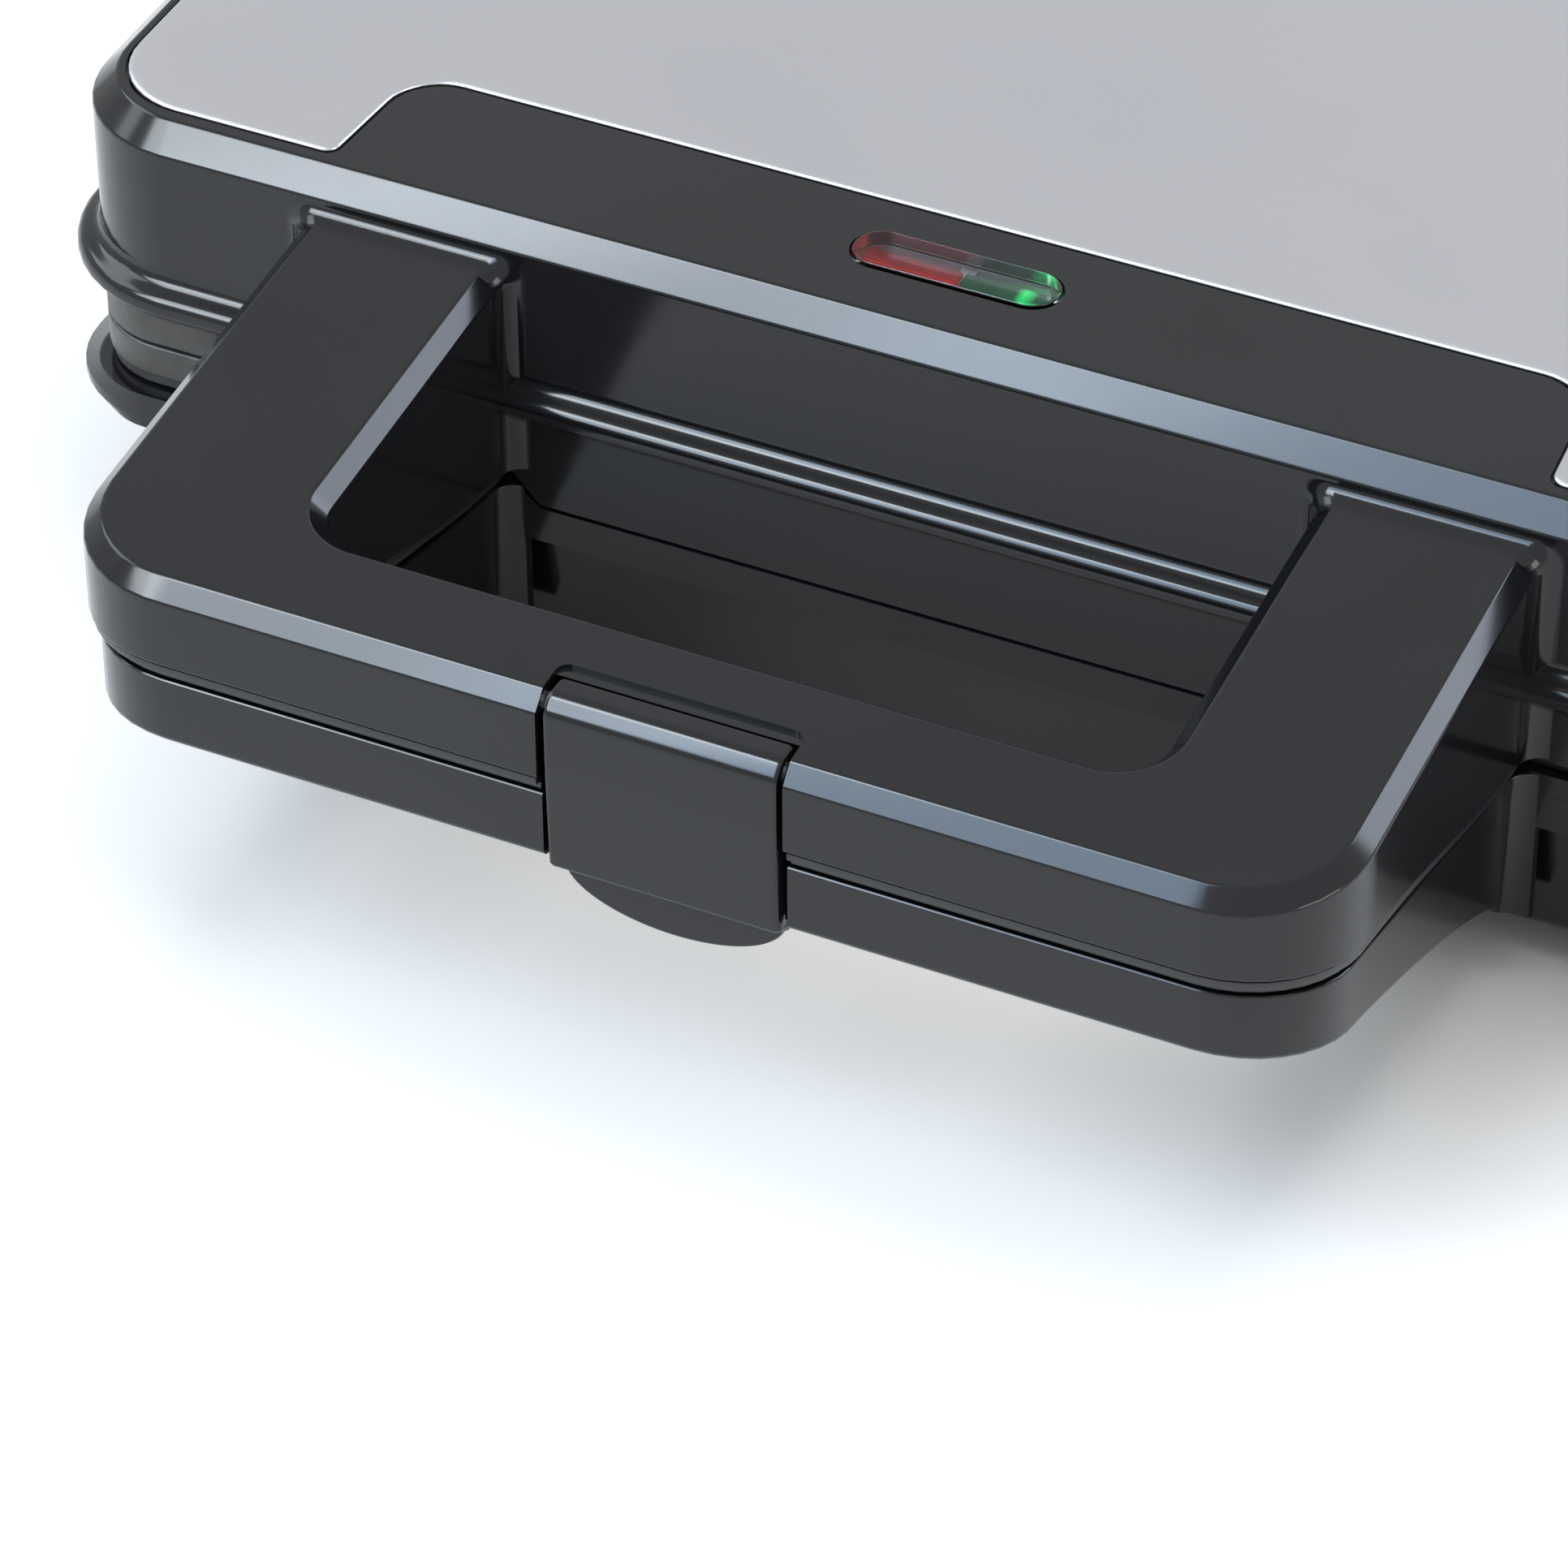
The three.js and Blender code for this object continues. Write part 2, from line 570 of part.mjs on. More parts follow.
// Plate with its meeting face at one height and its cups reaching away from it, down
// (-1) or up (+1).
function cookingPlate(faceDepth, direction, rimHeight, bossEnd, holeEnd) {
  const at = (distance) => z(faceDepth) + direction * distance;
  const bossTip = Math.abs(bossEnd - faceDepth);
  const holeTip = Math.abs(holeEnd - faceDepth);
  const slab = loft([
    { loop: plateLoop(0), height: at(WEB) },
    { loop: plateLoop(0), height: at(0) },
  ]);
  const rimOuter = loft([
    { loop: plateLoop(0.4), height: at(rimHeight) },
    { loop: plateLoop(0), height: at(WEB / 2) },
  ]);
  const rimInner = loft([
    { loop: plateLoop(2.4), height: at(rimHeight + 1) },
    { loop: plateLoop(2.4), height: at(WEB / 2) },
  ]);
  const cups = ringCentres.map(([cx, cy]) => turned([
    [0, at(RING_DEPTH + CUP_WALL)],
    [RING_OUTER - 5, at(RING_DEPTH + CUP_WALL)],
    [RING_OUTER + CUP_WALL, at(6)],
    [RING_OUTER + CUP_WALL, at(1)],
    [0, at(1)],
  ], cx, cy, 16));
  const rings = ringCentres.map(([cx, cy]) => turned([
    [RING_INNER, at(-1)],
    [RING_INNER, at(0)],
    [RING_INNER + 2.2, at(6.8)],
    [RING_INNER + 6.6, at(RING_DEPTH)],
    [RING_OUTER - 6.6, at(RING_DEPTH)],
    [RING_OUTER - 2.2, at(6.8)],
    [RING_OUTER, at(0)],
    [RING_OUTER, at(-1)],
    [RING_INNER, at(-1)],
  ], cx, cy, 16));
  const bosses = fourCorners.map(([sx, sy]) => (
    post(sx * SCREW_X, CENTRE_Y + sy * SCREW_Y, BOSS_R, at(bossTip), at(1))));
  const holes = fourCorners.map(([sx, sy]) => (
    post(sx * SCREW_X, CENTRE_Y + sy * SCREW_Y, HOLE_R, at(bossTip + 1), at(holeTip))));
  const rim = cut(rimOuter, rimInner);
  return cut(join(slab, rim, ...cups, ...bosses), ...rings, ...holes);
}

function upperPlate() {
  return cookingPlate(UPPER_FACE, 1, UPPER_FACE - UPPER_RIM, 11.7, 24);
}

function lowerPlate() {
  return cookingPlate(LOWER_FACE, -1, LOWER_RIM - LOWER_FACE, 56.9, 44);
}

// Sheathed heating element: a loop that starts and ends at the back.
function heatingElement(depth) {
  const path = new THREE.CurvePath();
  const rear = y(BODY_DEPTH - 22);
  const front = y(48);
  const half = 50;
  const r = 26;
  const at = (px, py) => new THREE.Vector3(px, py, z(depth));
  const bend = (x0, y0, cx, cy, x1, y1) => (
    new THREE.QuadraticBezierCurve3(at(x0, y0), at(cx, cy), at(x1, y1)));
  path.add(new THREE.LineCurve3(at(-16, rear), at(-half + r, rear - 20)));
  path.add(bend(-half + r, rear - 20, -half, rear - 20 - r, -half, rear - 60));
  path.add(new THREE.LineCurve3(at(-half, rear - 60), at(-half, front + r)));
  path.add(bend(-half, front + r, -half, front, -half + r, front));
  path.add(new THREE.LineCurve3(at(-half + r, front), at(half - r, front)));
  path.add(bend(half - r, front, half, front, half, front + r));
  path.add(new THREE.LineCurve3(at(half, front + r), at(half, rear - 60)));
  path.add(bend(half, rear - 60, half, rear - 20 - r, half - r, rear - 20));
  path.add(new THREE.LineCurve3(at(half - r, rear - 20), at(16, rear)));
  const section = new THREE.Shape();
  section.absarc(0, 0, 3.2, 0, 2 * Math.PI, false);
  const options = { steps: 44, extrudePath: path, curveSegments: 8 };
  return toSolid(new THREE.ExtrudeGeometry(section, options));
}

// Shallow sheet-metal tray with holes for the four plate screws.
function reflectorTray(floorDepth, lipDepth) {
  const sheet = 0.8;
  const up = lipDepth < floorDepth;
  const low = Math.min(z(floorDepth), z(lipDepth));
  const high = Math.max(z(floorDepth), z(lipDepth));
  const outside = loft([
    { loop: bodyLoop(-9), height: low },
    { loop: bodyLoop(-9), height: high },
  ]);
  const inside = loft([
    { loop: bodyLoop(-9 - sheet), height: up ? low + sheet : low - 1 },
    { loop: bodyLoop(-9 - sheet), height: up ? high + 1 : high - sheet },
  ]);
  const holes = fourCorners.map(([sx, sy]) => (
    post(sx * SCREW_X, CENTRE_Y + sy * SCREW_Y, HOLE_R + 0.4, low - 1, high + 1)));
  return cut(outside, inside, ...holes);
}

// Pan-head screw, head at the first depth, pointing up (+1) or down (-1).
function screw(cx, cy, headDepth, length, direction) {
  const head = z(headDepth);
  const profile = [
    [0, head],
    [HEAD_R, head],
    [HEAD_R, head + direction * 2],
    [SHANK_R, head + direction * 2],
    [SHANK_R, head + direction * (length - 1)],
    [0.6, head + direction * length],
    [0, head + direction * length],
  ];
  const slot = box(cx - 0.5, cy - 2.6, head - 0.9, cx + 0.5, cy + 2.6, head + 0.9);
  const crossSlot = box(cx - 2.6, cy - 0.5, head - 0.9, cx + 2.6, cy + 0.5, head + 0.9);
  return cut(turned(profile, cx, cy, 12), slot, crossSlot);
}

// ------------------------------------------------------------------------- base parts
function hingeEars(side) {
  const axisY = y(HINGE_Y);
  const axisZ = z(HINGE_Z);
  const ear = (x0, x1) => join(
    rod(x0, x1, axisY, axisZ, KNUCKLE_R, 18),
    sidePrism([
      [axisY - KNUCKLE_R, axisZ],
      [axisY - KNUCKLE_R, z(RIM_TOP + 2)],
      [y(BODY_DEPTH - 5), z(RIM_TOP + 2)],
      [y(BODY_DEPTH - 5), z(56)],
      [y(BODY_DEPTH - 3), z(56)],
      [axisY + KNUCKLE_R, z(42)],
      [axisY + KNUCKLE_R, axisZ],
    ], x0, x1),
  );
  const inner = KNUCKLE_HALF + GAP;
  const middle = side * HINGE_X;
  return join(ear(middle - inner - EAR, middle - inner), ear(middle + inner, middle + inner + EAR));
}

function rearBoss() {
  const rear = y(BODY_DEPTH + REAR_BOSS);
  const outside = sidePrism([
    [y(BODY_DEPTH - 6), z(62.5)],
    [rear - 3, z(62.5)],
    [rear, z(59.5)],
    [rear, z(37.7)],
    [rear - 1.5, z(36.2)],
    [y(BODY_DEPTH - 0.6), z(36.2)],
    [y(BODY_DEPTH - 0.6), z(RIM_TOP + 1)],
    [y(BODY_DEPTH - 6), z(RIM_TOP + 1)],
  ], -32, 32);
  const inside = box(-29.5, y(BODY_DEPTH - 8), z(60), 29.5, rear - SHELL, z(RIM_TOP + 2.5));
  return { outside, inside };
}

function ventSlots() {
  return Array.from({ length: 6 }, (_, row) => {
    const middle = CENTRE_Y - 25 + row * 10;
    return box(-22, middle - 1.5, z(FLOOR + 1), 22, middle + 1.5, z(FLOOR - 4));
  });
}

function lowerHousing() {
  const outside = loft([
    { loop: bodyLoop(-6.4), height: z(FLOOR) },
    { loop: bodyLoop(-4.9), height: z(64) },
    { loop: bodyLoop(-3), height: z(RIM_UNDER) },
    { loop: rimLoop(-2.4), height: z(RIM_UNDER) },
    { loop: rimLoop(RIM_OUT - 0.5), height: z(RIM_EDGE + RIM_EDGE_THICK + 0.5) },
    { loop: rimLoop(RIM_OUT), height: z(RIM_EDGE + RIM_EDGE_THICK) },
    { loop: rimLoop(RIM_OUT), height: z(RIM_EDGE) },
    { loop: rimLoop(PLATE_HALF - COVER_HALF), height: z(RIM_TOP) },
  ]);
  const inside = loft([
    { loop: bodyLoop(-8), height: z(FLOOR - SHELL) },
    { loop: bodyLoop(-5.6), height: z(RIM_UNDER) },
    { loop: bodyLoop(-5), height: z(RIM_TOP - 1) },
  ]);
  const upstands = [-1, 1].map((side) => {
    const inner = side * PARTING_HALF;
    const profile = [
      [inner, z(RIM_TOP + 1)],
      [inner, z(RIM_TOP)],
      [inner + side * 4, z(37.6)],
      [side * (SKIRT_HALF - 1), z(37.6)],
      [side * (SKIRT_HALF + 1), z(RIM_TOP)],
      [side * (SKIRT_HALF + 1), z(RIM_TOP + 1)],
    ];
    return frontPrism(side > 0 ? profile.reverse() : profile, y(0), y(SKIRT_THICK));
  });
  const posts = fourCorners.map(([sx, sy]) => (
    post(sx * SCREW_X, CENTRE_Y + sy * SCREW_Y, HEAD_R + 2.4, z(FLOOR - 1), z(58.3))));
  const wells = fourCorners.flatMap(([sx, sy]) => {
    const cy = CENTRE_Y + sy * SCREW_Y;
    return [
      post(sx * SCREW_X, cy, HEAD_R + GAP, z(FLOOR + 1), z(61.5)),
      post(sx * SCREW_X, cy, HOLE_R, z(FLOOR), z(57)),
    ];
  });
  const footHoles = fourCorners.map(([sx, sy]) => (
    post(sx * FOOT_X, CENTRE_Y + sy * FOOT_Y, 3 + GAP, z(FLOOR + 1), z(FLOOR - 4))));
  const channel = join(
    box(-NOTCH_HALF, y(-80), z(80), NOTCH_HALF, y(-62.9), z(20)),
    box(-NOTCH_HALF, y(-80), z(80), NOTCH_HALF, y(-57.6), z(34.5)),
  );
  const hingeHoles = [-1, 1].map((side) => (
    rod(side * HINGE_X - 20, side * HINGE_X + 20, y(HINGE_Y), z(HINGE_Z), HINGE_PIN_R + GAP)));
  const linerHoles = [-1, 1].flatMap((side) => [
    post(side * ARM_X, y(ARM_SCREW_Y), HOLE_R, z(60), z(30)),
    post(side * ARM_X, y(ARM_SCREW_Y), HEAD_R + GAP, z(60), z(40.7)),
  ]);
  const boss = rearBoss();
  const glandHole = toSolid(new THREE.CylinderGeometry(GLAND_R + GAP, GLAND_R + GAP, 16, 16)
    .translate(0, y(BODY_DEPTH + REAR_BOSS), z(GLAND_Z)));
  const shell = cut(join(outside, ...upstands, boss.outside), inside, boss.inside);
  return cut(
    join(shell, lowerHandle(), ...posts, hingeEars(-1), hingeEars(1)),
    ...wells,
    ...footHoles,
    channel,
    ...hingeHoles,
    ...linerHoles,
    glandHole,
    ...ventSlots(),
    box(-32, CENTRE_Y + 44, z(FLOOR + 1), 32, CENTRE_Y + 72, z(FLOOR - 0.8)),
  );
}

function foot(sx, sy) {
  return turned([
    [0, z(TOP_Z)],
    [7.2, z(TOP_Z)],
    [8, z(TOP_Z - 1)],
    [8.6, z(FLOOR + GAP)],
    [3, z(FLOOR + GAP)],
    [3, z(FLOOR - 3.4)],
    [0, z(FLOOR - 3.4)],
  ], sx * FOOT_X, CENTRE_Y + sy * FOOT_Y, 16);
}

function thermostat() {
  const cx = RING_PITCH / 2;
  const cy = CENTRE_Y + RING_ROW / 3;
  return join(
    turned([[0, z(56.8)], [7.2, z(56.8)], [7.2, z(50)], [5.4, z(48.6)], [0, z(48.6)]], cx, cy, 16),
    box(cx - 10.5, cy - 2.5, z(56.8), cx + 10.5, cy + 2.5, z(56)),
  );
}

function thermalFuse() {
  return rod(-40, -26, CENTRE_Y + RING_ROW / 3, z(54.2), 2.4, 10);
}

function terminalBlock() {
  const block = box(-12, y(BODY_DEPTH - 4), z(59.6), 12, y(BODY_DEPTH + 5), z(50));
  const wells = [-7.5, 0, 7.5].map((cx) => post(cx, y(BODY_DEPTH + 0.5), 1.8, z(56), z(49), 10));
  return cut(block, ...wells);
}

function cordGland() {
  const wall = y(BODY_DEPTH + REAR_BOSS);
  return toSolid(lathe([
    [GLAND_R - 1.6, -SHELL - 3],
    [GLAND_R, -SHELL - 3],
    [GLAND_R, GAP],
    [GLAND_R + 2, GAP],
    [GLAND_R + 1.4, GLAND_PROUD],
    [GLAND_R - 1.6, GLAND_PROUD],
    [GLAND_R - 1.6, -SHELL - 3],
  ], 16).translate(0, wall, z(GLAND_Z)));
}

function hingePin(side) {
  const reach = KNUCKLE_HALF + GAP + EAR - 0.2;
  const middle = side * HINGE_X;
  return rod(middle - reach, middle + reach, y(HINGE_Y), z(HINGE_Z), HINGE_PIN_R, 12);
}

// --------------------------------------------------------------------------- assembly
const donutMaker = new THREE.Group();

function place(name, solid, look) {
  const mesh = new THREE.Mesh(toGeometry(solid), look);
  mesh.name = name;
  donutMaker.add(mesh);
}

place('upper_cover', upperCover(), blackPlastic());
place('top_inlay_panel', topInlayPanel(), brushedSteel());
place('indicator_lens', indicatorLens(), material(0xd8dde2, 0.05, 0));
place('lamp_holder', lampHolder(), material(0xe6e3da, 0.6, 0));
place('red_lamp', lamp(-1), material(0xc81414, 0.2, 0));
place('green_lamp', lamp(1), material(0x159a3c, 0.2, 0));
place('upper_handle_liner', upperHandleLiner(), darkPlastic());
place('upper_reflector', reflectorTray(10.6, 17), aluminiumSheet());
place('upper_heating_element', heatingElement(16), zincSteel());
place('upper_plate', upperPlate(), coatedPlate());
place('latch_pin', latchPin(), zincSteel());
place('latch_clip', latchClip(), blackPlastic());

place('lower_housing', lowerHousing(), blackPlastic());
place('lower_handle_liner', lowerHandleLiner(), darkPlastic());
place('lower_reflector', reflectorTray(58, 51), aluminiumSheet());
place('lower_heating_element', heatingElement(52.2), zincSteel());
place('lower_plate', lowerPlate(), coatedPlate());
place('thermostat', thermostat(), zincSteel());
place('thermal_fuse', thermalFuse(), material(0xe9e4d6, 0.6, 0));
place('terminal_block', terminalBlock(), material(0xe8e6df, 0.5, 0));
place('cord_gland', cordGland(), darkPlastic());
place('rating_plate', box(-31.7, CENTRE_Y + 44.3, z(65.3), 31.7, CENTRE_Y + 71.7, z(65)), aluminiumSheet());

for (const [sx, sy, corner] of fourCorners) {
  const cx = sx * SCREW_X;
  const cy = CENTRE_Y + sy * SCREW_Y;
  place(`upper_screw_${corner}`, screw(cx, cy, 1.2, 20, -1), zincSteel());
  place(`base_screw_${corner}`, screw(cx, cy, 63.8, 18, 1), zincSteel());
  place(`foot_${corner}`, foot(sx, sy), rubber());
}

for (const [side, name] of [[-1, 'left'], [1, 'right']]) {
  place(`hinge_pin_${name}`, hingePin(side), zincSteel());
  place(`upper_handle_screw_${name}`, screw(side * ARM_X, y(ARM_SCREW_Y), 28.2, 10, 1), zincSteel());
  place(`lower_handle_screw_${name}`, screw(side * ARM_X, y(ARM_SCREW_Y), 43, 9.5, 1), zincSteel());
}

export default donutMaker;
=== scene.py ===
"""Looks for a donut maker: a hinged clamshell with a two-part U handle, a latch and lamps.

Sizes are millimetres in the helpers and become metres when a mesh is made. z(depth) is a
height given as a depth below the cover's top face, and y(distance) a place behind the
front wall.
"""
import math

import bmesh
import bpy
from mathutils import Matrix, Vector


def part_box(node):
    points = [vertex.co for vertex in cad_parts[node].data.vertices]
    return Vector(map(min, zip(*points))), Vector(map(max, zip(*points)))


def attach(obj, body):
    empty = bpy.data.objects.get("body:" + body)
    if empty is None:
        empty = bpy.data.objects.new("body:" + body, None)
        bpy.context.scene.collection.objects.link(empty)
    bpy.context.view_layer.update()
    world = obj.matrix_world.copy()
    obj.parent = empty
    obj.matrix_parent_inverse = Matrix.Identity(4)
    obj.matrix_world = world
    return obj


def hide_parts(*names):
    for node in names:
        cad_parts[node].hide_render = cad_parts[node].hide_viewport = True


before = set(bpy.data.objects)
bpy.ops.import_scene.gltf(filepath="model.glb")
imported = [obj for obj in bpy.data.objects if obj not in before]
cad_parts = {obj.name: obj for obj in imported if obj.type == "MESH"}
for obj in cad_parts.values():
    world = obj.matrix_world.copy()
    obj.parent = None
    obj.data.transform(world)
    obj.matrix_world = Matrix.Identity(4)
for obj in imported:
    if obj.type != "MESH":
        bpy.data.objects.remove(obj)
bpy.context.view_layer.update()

MM = 0.001
GAP = 0.3

# ------------------------------------------------------------------ driving dimensions
COVER_LOW, COVER_HIGH = (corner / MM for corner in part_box("upper_cover"))
HANDLE_REACH = 66.2
TOP_Z = COVER_HIGH.z
FRONT_WALL_Y = COVER_LOW.y + HANDLE_REACH
BEAD_OUT = 3.1
COVER_HALF = COVER_HIGH.x - BEAD_OUT
BODY_DEPTH = 215.0
CENTRE_Y = FRONT_WALL_Y + BODY_DEPTH / 2

CORNER = 16.0
COVER_EDGE = 27.0
SHELL = 2.5
HANDLE_HALF = 79.3
HANDLE_CORNER = 15.0
OPENING_HALF = 52.4
OPENING_FRONT = 50.2
OPENING_CORNER = 6.5
HANDLE_TOP = 5.45
HANDLE_SLOPE = 0.083
LOWER_INSET = 1.2
LIP_SPACE = 0.16
LIP_INSET = 0.4
RIM_TOP = 40.6
RIM_EDGE = 43.0
RIM_UNDER = 45.6
RIM_OUT = 2.9
RIM_REAR_OUT = 1.7
RIM_CORNER = 14.0
FLOOR = 65.5
PLATE_INSET = 2.0
PLATE_HALF = 114.0
PLATE_CORNER = 11.0
UPPER_FACE = 33.9
LOWER_FACE = 34.3
RING_PITCH = 66.0
RING_ROW = 57.5
RING_OUTER = 28.5
RING_INNER = 9.5
RING_DEPTH = 11.4
NOTCH_HALF = 15.3
LATCH_HALF = 14.6
LATCH_Y = -62.6
LATCH_Z = 13.7
HINGE_X = 72.0
HINGE_Y = 219.0
HINGE_Z = 34.0
KNUCKLE_HALF = 9.0
KNUCKLE_R = 5.2
EAR = 5.0
SCREW_X = 98.0
SCREW_Y = 88.0
ARM_X = 66.0
ARM_SCREW_Y = -30.0
FOOT_X = 90.0
FOOT_Y = 72.0
LENS_Y = 14.8
REAR_BOSS = 14.5
GLAND_Z = 50.0
SCREW_HOLE = 2.2
HEAD_HOLE = 4.1
HINGE_BORE = 2.3
LATCH_BORE = 1.6
HANDLE_WALL = 2.7
ROOT_FLARE = 2.8
SKIRT_THICK = 1.6
VENTS = 6
VENT_PITCH = 10
BEYOND = 80


def z(depth):
    return TOP_Z - depth


def y(distance):
    return FRONT_WALL_Y + distance


# ------------------------------------------------------------------------ 2-D outlines
def arc(cx, cy, radius, start, end, steps):
    """Points of an arc, in degrees, both ends included."""
    angles = [math.radians(start + (end - start) * i / steps) for i in range(steps + 1)]
    return [(cx + radius * math.cos(a), cy + radius * math.sin(a)) for a in angles]


def rounded(points, radii, steps=5, closed=False):
    """A path with its corners rounded to the given radii."""
    count = len(points)
    path = []
    for i, (point, radius) in enumerate(zip(points, radii)):
        here = Vector(point)
        if radius <= 0 or (not closed and i in (0, count - 1)):
            path.append(tuple(here))
            continue
        before = (Vector(points[i - 1]) - here).normalized()
        after = (Vector(points[(i + 1) % count]) - here).normalized()
        half = before.angle(after) / 2
        if half > math.radians(89.5):
            path.append(tuple(here))
            continue
        reach = radius / math.tan(half)
        centre = here + (before + after).normalized() * radius / math.sin(half)
        first = here + before * reach - centre
        last = here + after * reach - centre
        turn = first.angle_signed(last)
        for step in range(steps + 1):
            offset = first.copy()
            offset.rotate(Matrix.Rotation(-turn * step / steps, 2))
            path.append(tuple(centre + offset))
    return path


def inset(outline, distance):
    """An anticlockwise outline moved inwards."""
    count = len(outline)
    moved = []
    for i in range(count):
        before, here, after = (Vector(outline[(i + k) % count]) for k in (-1, 0, 1))
        a = (here - before).normalized()
        b = (after - here).normalized()
        normal = Vector((-a.y - b.y, a.x + b.x)).normalized()
        spread = max(0.5, normal.dot(Vector((-a.y, a.x))))
        moved.append(tuple(here + normal * distance / spread))
    return moved


def rounded_rectangle(x0, y0, x1, y1, radius, steps=10):
    """Anticlockwise from the front left corner."""
    return (
        arc(x0 + radius, y0 + radius, radius, 180, 270, steps)
        + arc(x1 - radius, y0 + radius, radius, 270, 360, steps)
        + arc(x1 - radius, y1 - radius, radius, 0, 90, steps)
        + arc(x0 + radius, y1 - radius, radius, 90, 180, steps)
    )


def body_loop(offset, front=None):
    """The body's plan outline moved outwards; the front may move on its own."""
    half = COVER_HALF + offset
    front = offset if front is None else front
    radius = max(CORNER + offset, 2.0)
    return rounded_rectangle(-half, y(-front), half, y(BODY_DEPTH + offset), radius)


def plate_loop(offset):
    """A cooking plate's rim in plan, moved outwards."""
    half = PLATE_HALF + offset
    rear = y(BODY_DEPTH - PLATE_INSET + offset)
    return rounded_rectangle(-half, y(PLATE_INSET - offset), half, rear, PLATE_CORNER + offset)


def rim_loop(out, front=0.0):
    """The lower housing's rim in plan: it overhangs at the sides and back only."""
    half = COVER_HALF + out
    rear = y(BODY_DEPTH + min(out, RIM_REAR_OUT))
    return rounded_rectangle(-half, y(-front), half, rear, RIM_CORNER + out - RIM_OUT)


def obround(length, width, cy):
    half = (length - width) / 2
    return arc(half, cy, width / 2, -90, 90, 16) + arc(-half, cy, width / 2, 90, 270, 16)


def smooth_line(knots):
    """A smooth function through (distance, depth) knots."""
    xs = [k[0] for k in knots]
    ds = [k[1] for k in knots]
    slopes = [(ds[i + 1] - ds[i]) / (xs[i + 1] - xs[i]) for i in range(len(xs) - 1)]
    tangents = [slopes[0]] + [(a + b) / 2 for a, b in zip(slopes, slopes[1:])] + [slopes[-1]]

    def depth(distance):
        if distance <= xs[0]:
            return ds[0] + tangents[0] * (distance - xs[0])
        for i in range(len(xs) - 1):
            if distance <= xs[i + 1]:
                break
        span = xs[i + 1] - xs[i]
        t = (distance - xs[i]) / span
        return (
            (1 + 2 * t) * (1 - t) ** 2 * ds[i]
            + t * (1 - t) ** 2 * span * tangents[i]
            + t * t * (3 - 2 * t) * ds[i + 1]
            + t * t * (t - 1) * span * tangents[i + 1]
        )

    return depth


# ------------------------------------------------------------------------ mesh building
def mesh_object(name, vertices, faces):
    """A closed mesh from millimetre points, with its faces pointing out."""
    mesh = bpy.data.meshes.new(name)
    mesh.from_pydata([tuple(c * MM for c in v) for v in vertices], [], faces)
    model = bmesh.new()
    model.from_mesh(mesh)
    bmesh.ops.remove_doubles(model, verts=model.verts, dist=1e-7)
    bmesh.ops.recalc_face_normals(model, faces=model.faces)
    model.to_mesh(mesh)
    model.free()
    made = bpy.data.objects.new(name, mesh)
    bpy.context.scene.collection.objects.link(made)
    return made


def loft(levels, name="loft", place=None):
    """A closed solid through sections of equal point count. Each level is (section,
    position) and place turns (u, v, position) into a point."""
    place = place or (lambda u, v, w: (u, v, w))
    count = len(levels[0][0])
    vertices = [place(u, v, w) for section, w in levels for u, v in section]
    faces = []
    for level in range(len(levels) - 1):
        low = level * count
        high = low + count
        for i in range(count):
            after = (i + 1) % count
            faces.append((low + i, low + after, high + after, high + i))
    top = (len(levels) - 1) * count
    faces.append(tuple(range(count))[::-1])
    faces.append(tuple(range(top, top + count)))
    return mesh_object(name, vertices, faces)


def prism(outline, low, high):
    return loft([(outline, low), (outline, high)])


def soft_prism(outline, low, high, edge, steps=3):
    """An upright prism whose upper and lower edges are rounded."""
    turns = [math.radians(90 * i / steps) for i in range(steps + 1)]
    rise = [(edge * (1 - math.sin(t)), edge * (1 - math.cos(t))) for t in turns]
    levels = [(inset(outline, a), low + b) for a, b in rise]
    levels += [(inset(outline, a), high - b) for a, b in rise[::-1]]
    return loft(levels)


def side_prism(points, x0, x1, edge=0.0):
    """A prism along X of a (y, z) outline, with rounded end edges if edge is given."""
    if not edge:
        return loft([(points, x0), (points, x1)], place=lambda u, v, w: (w, u, v))
    levels = [(inset(points, edge), x0), (inset(points, edge * 0.3), x0 + edge * 0.3)]
    levels += [(points, x0 + edge), (points, x1 - edge)]
    levels += [(inset(points, edge * 0.3), x1 - edge * 0.3), (inset(points, edge), x1)]
    return loft(levels, place=lambda u, v, w: (w, u, v))


def front_prism(points, y0, y1):
    return loft([(points, y0), (points, y1)], place=lambda u, v, w: (u, w, v))


def block(x0, y0, z0, x1, y1, z1):
    return prism([(x0, y0), (x1, y0), (x1, y1), (x0, y1)], z0, z1)


def revolve(profile, centre, segments=48, axis="Z"):
    """A turned solid from (radius, height) points. Points on the axis close it, and
    otherwise the profile is a closed loop."""
    axes = {"Z": lambda r, h, c, s: (r * c, r * s, h), "X": lambda r, h, c, s: (h, r * c, r * s),
            "Y": lambda r, h, c, s: (r * s, h, r * c)}
    cx, cy, cz = centre
    vertices = []
    for i in range(segments):
        c = math.cos(2 * math.pi * i / segments)
        s = math.sin(2 * math.pi * i / segments)
        for r, h in profile:
            px, py, pz = axes[axis](r, h, c, s)
            vertices.append((cx + px, cy + py, cz + pz))
    count = len(profile)
    ring = profile[0][0] > 1e-9
    faces = []
    for i in range(segments):
        a = i * count
        b = (i + 1) % segments * count
        for k in range(count if ring else count - 1):
            after = (k + 1) % count
            corners = [a + k, a + after, b + after, b + k]
            if profile[k][0] < 1e-9:
                corners = [a + k, a + after, b + after]
            elif profile[after][0] < 1e-9:
                corners = [a + k, a + after, b + k]
            faces.append(tuple(corners))
    return mesh_object("turned", vertices, faces)


def post(cx, cy, radius, low, high, segments=32):
    return revolve([(0, low), (radius, low), (radius, high), (0, high)], (cx, cy, 0), segments)


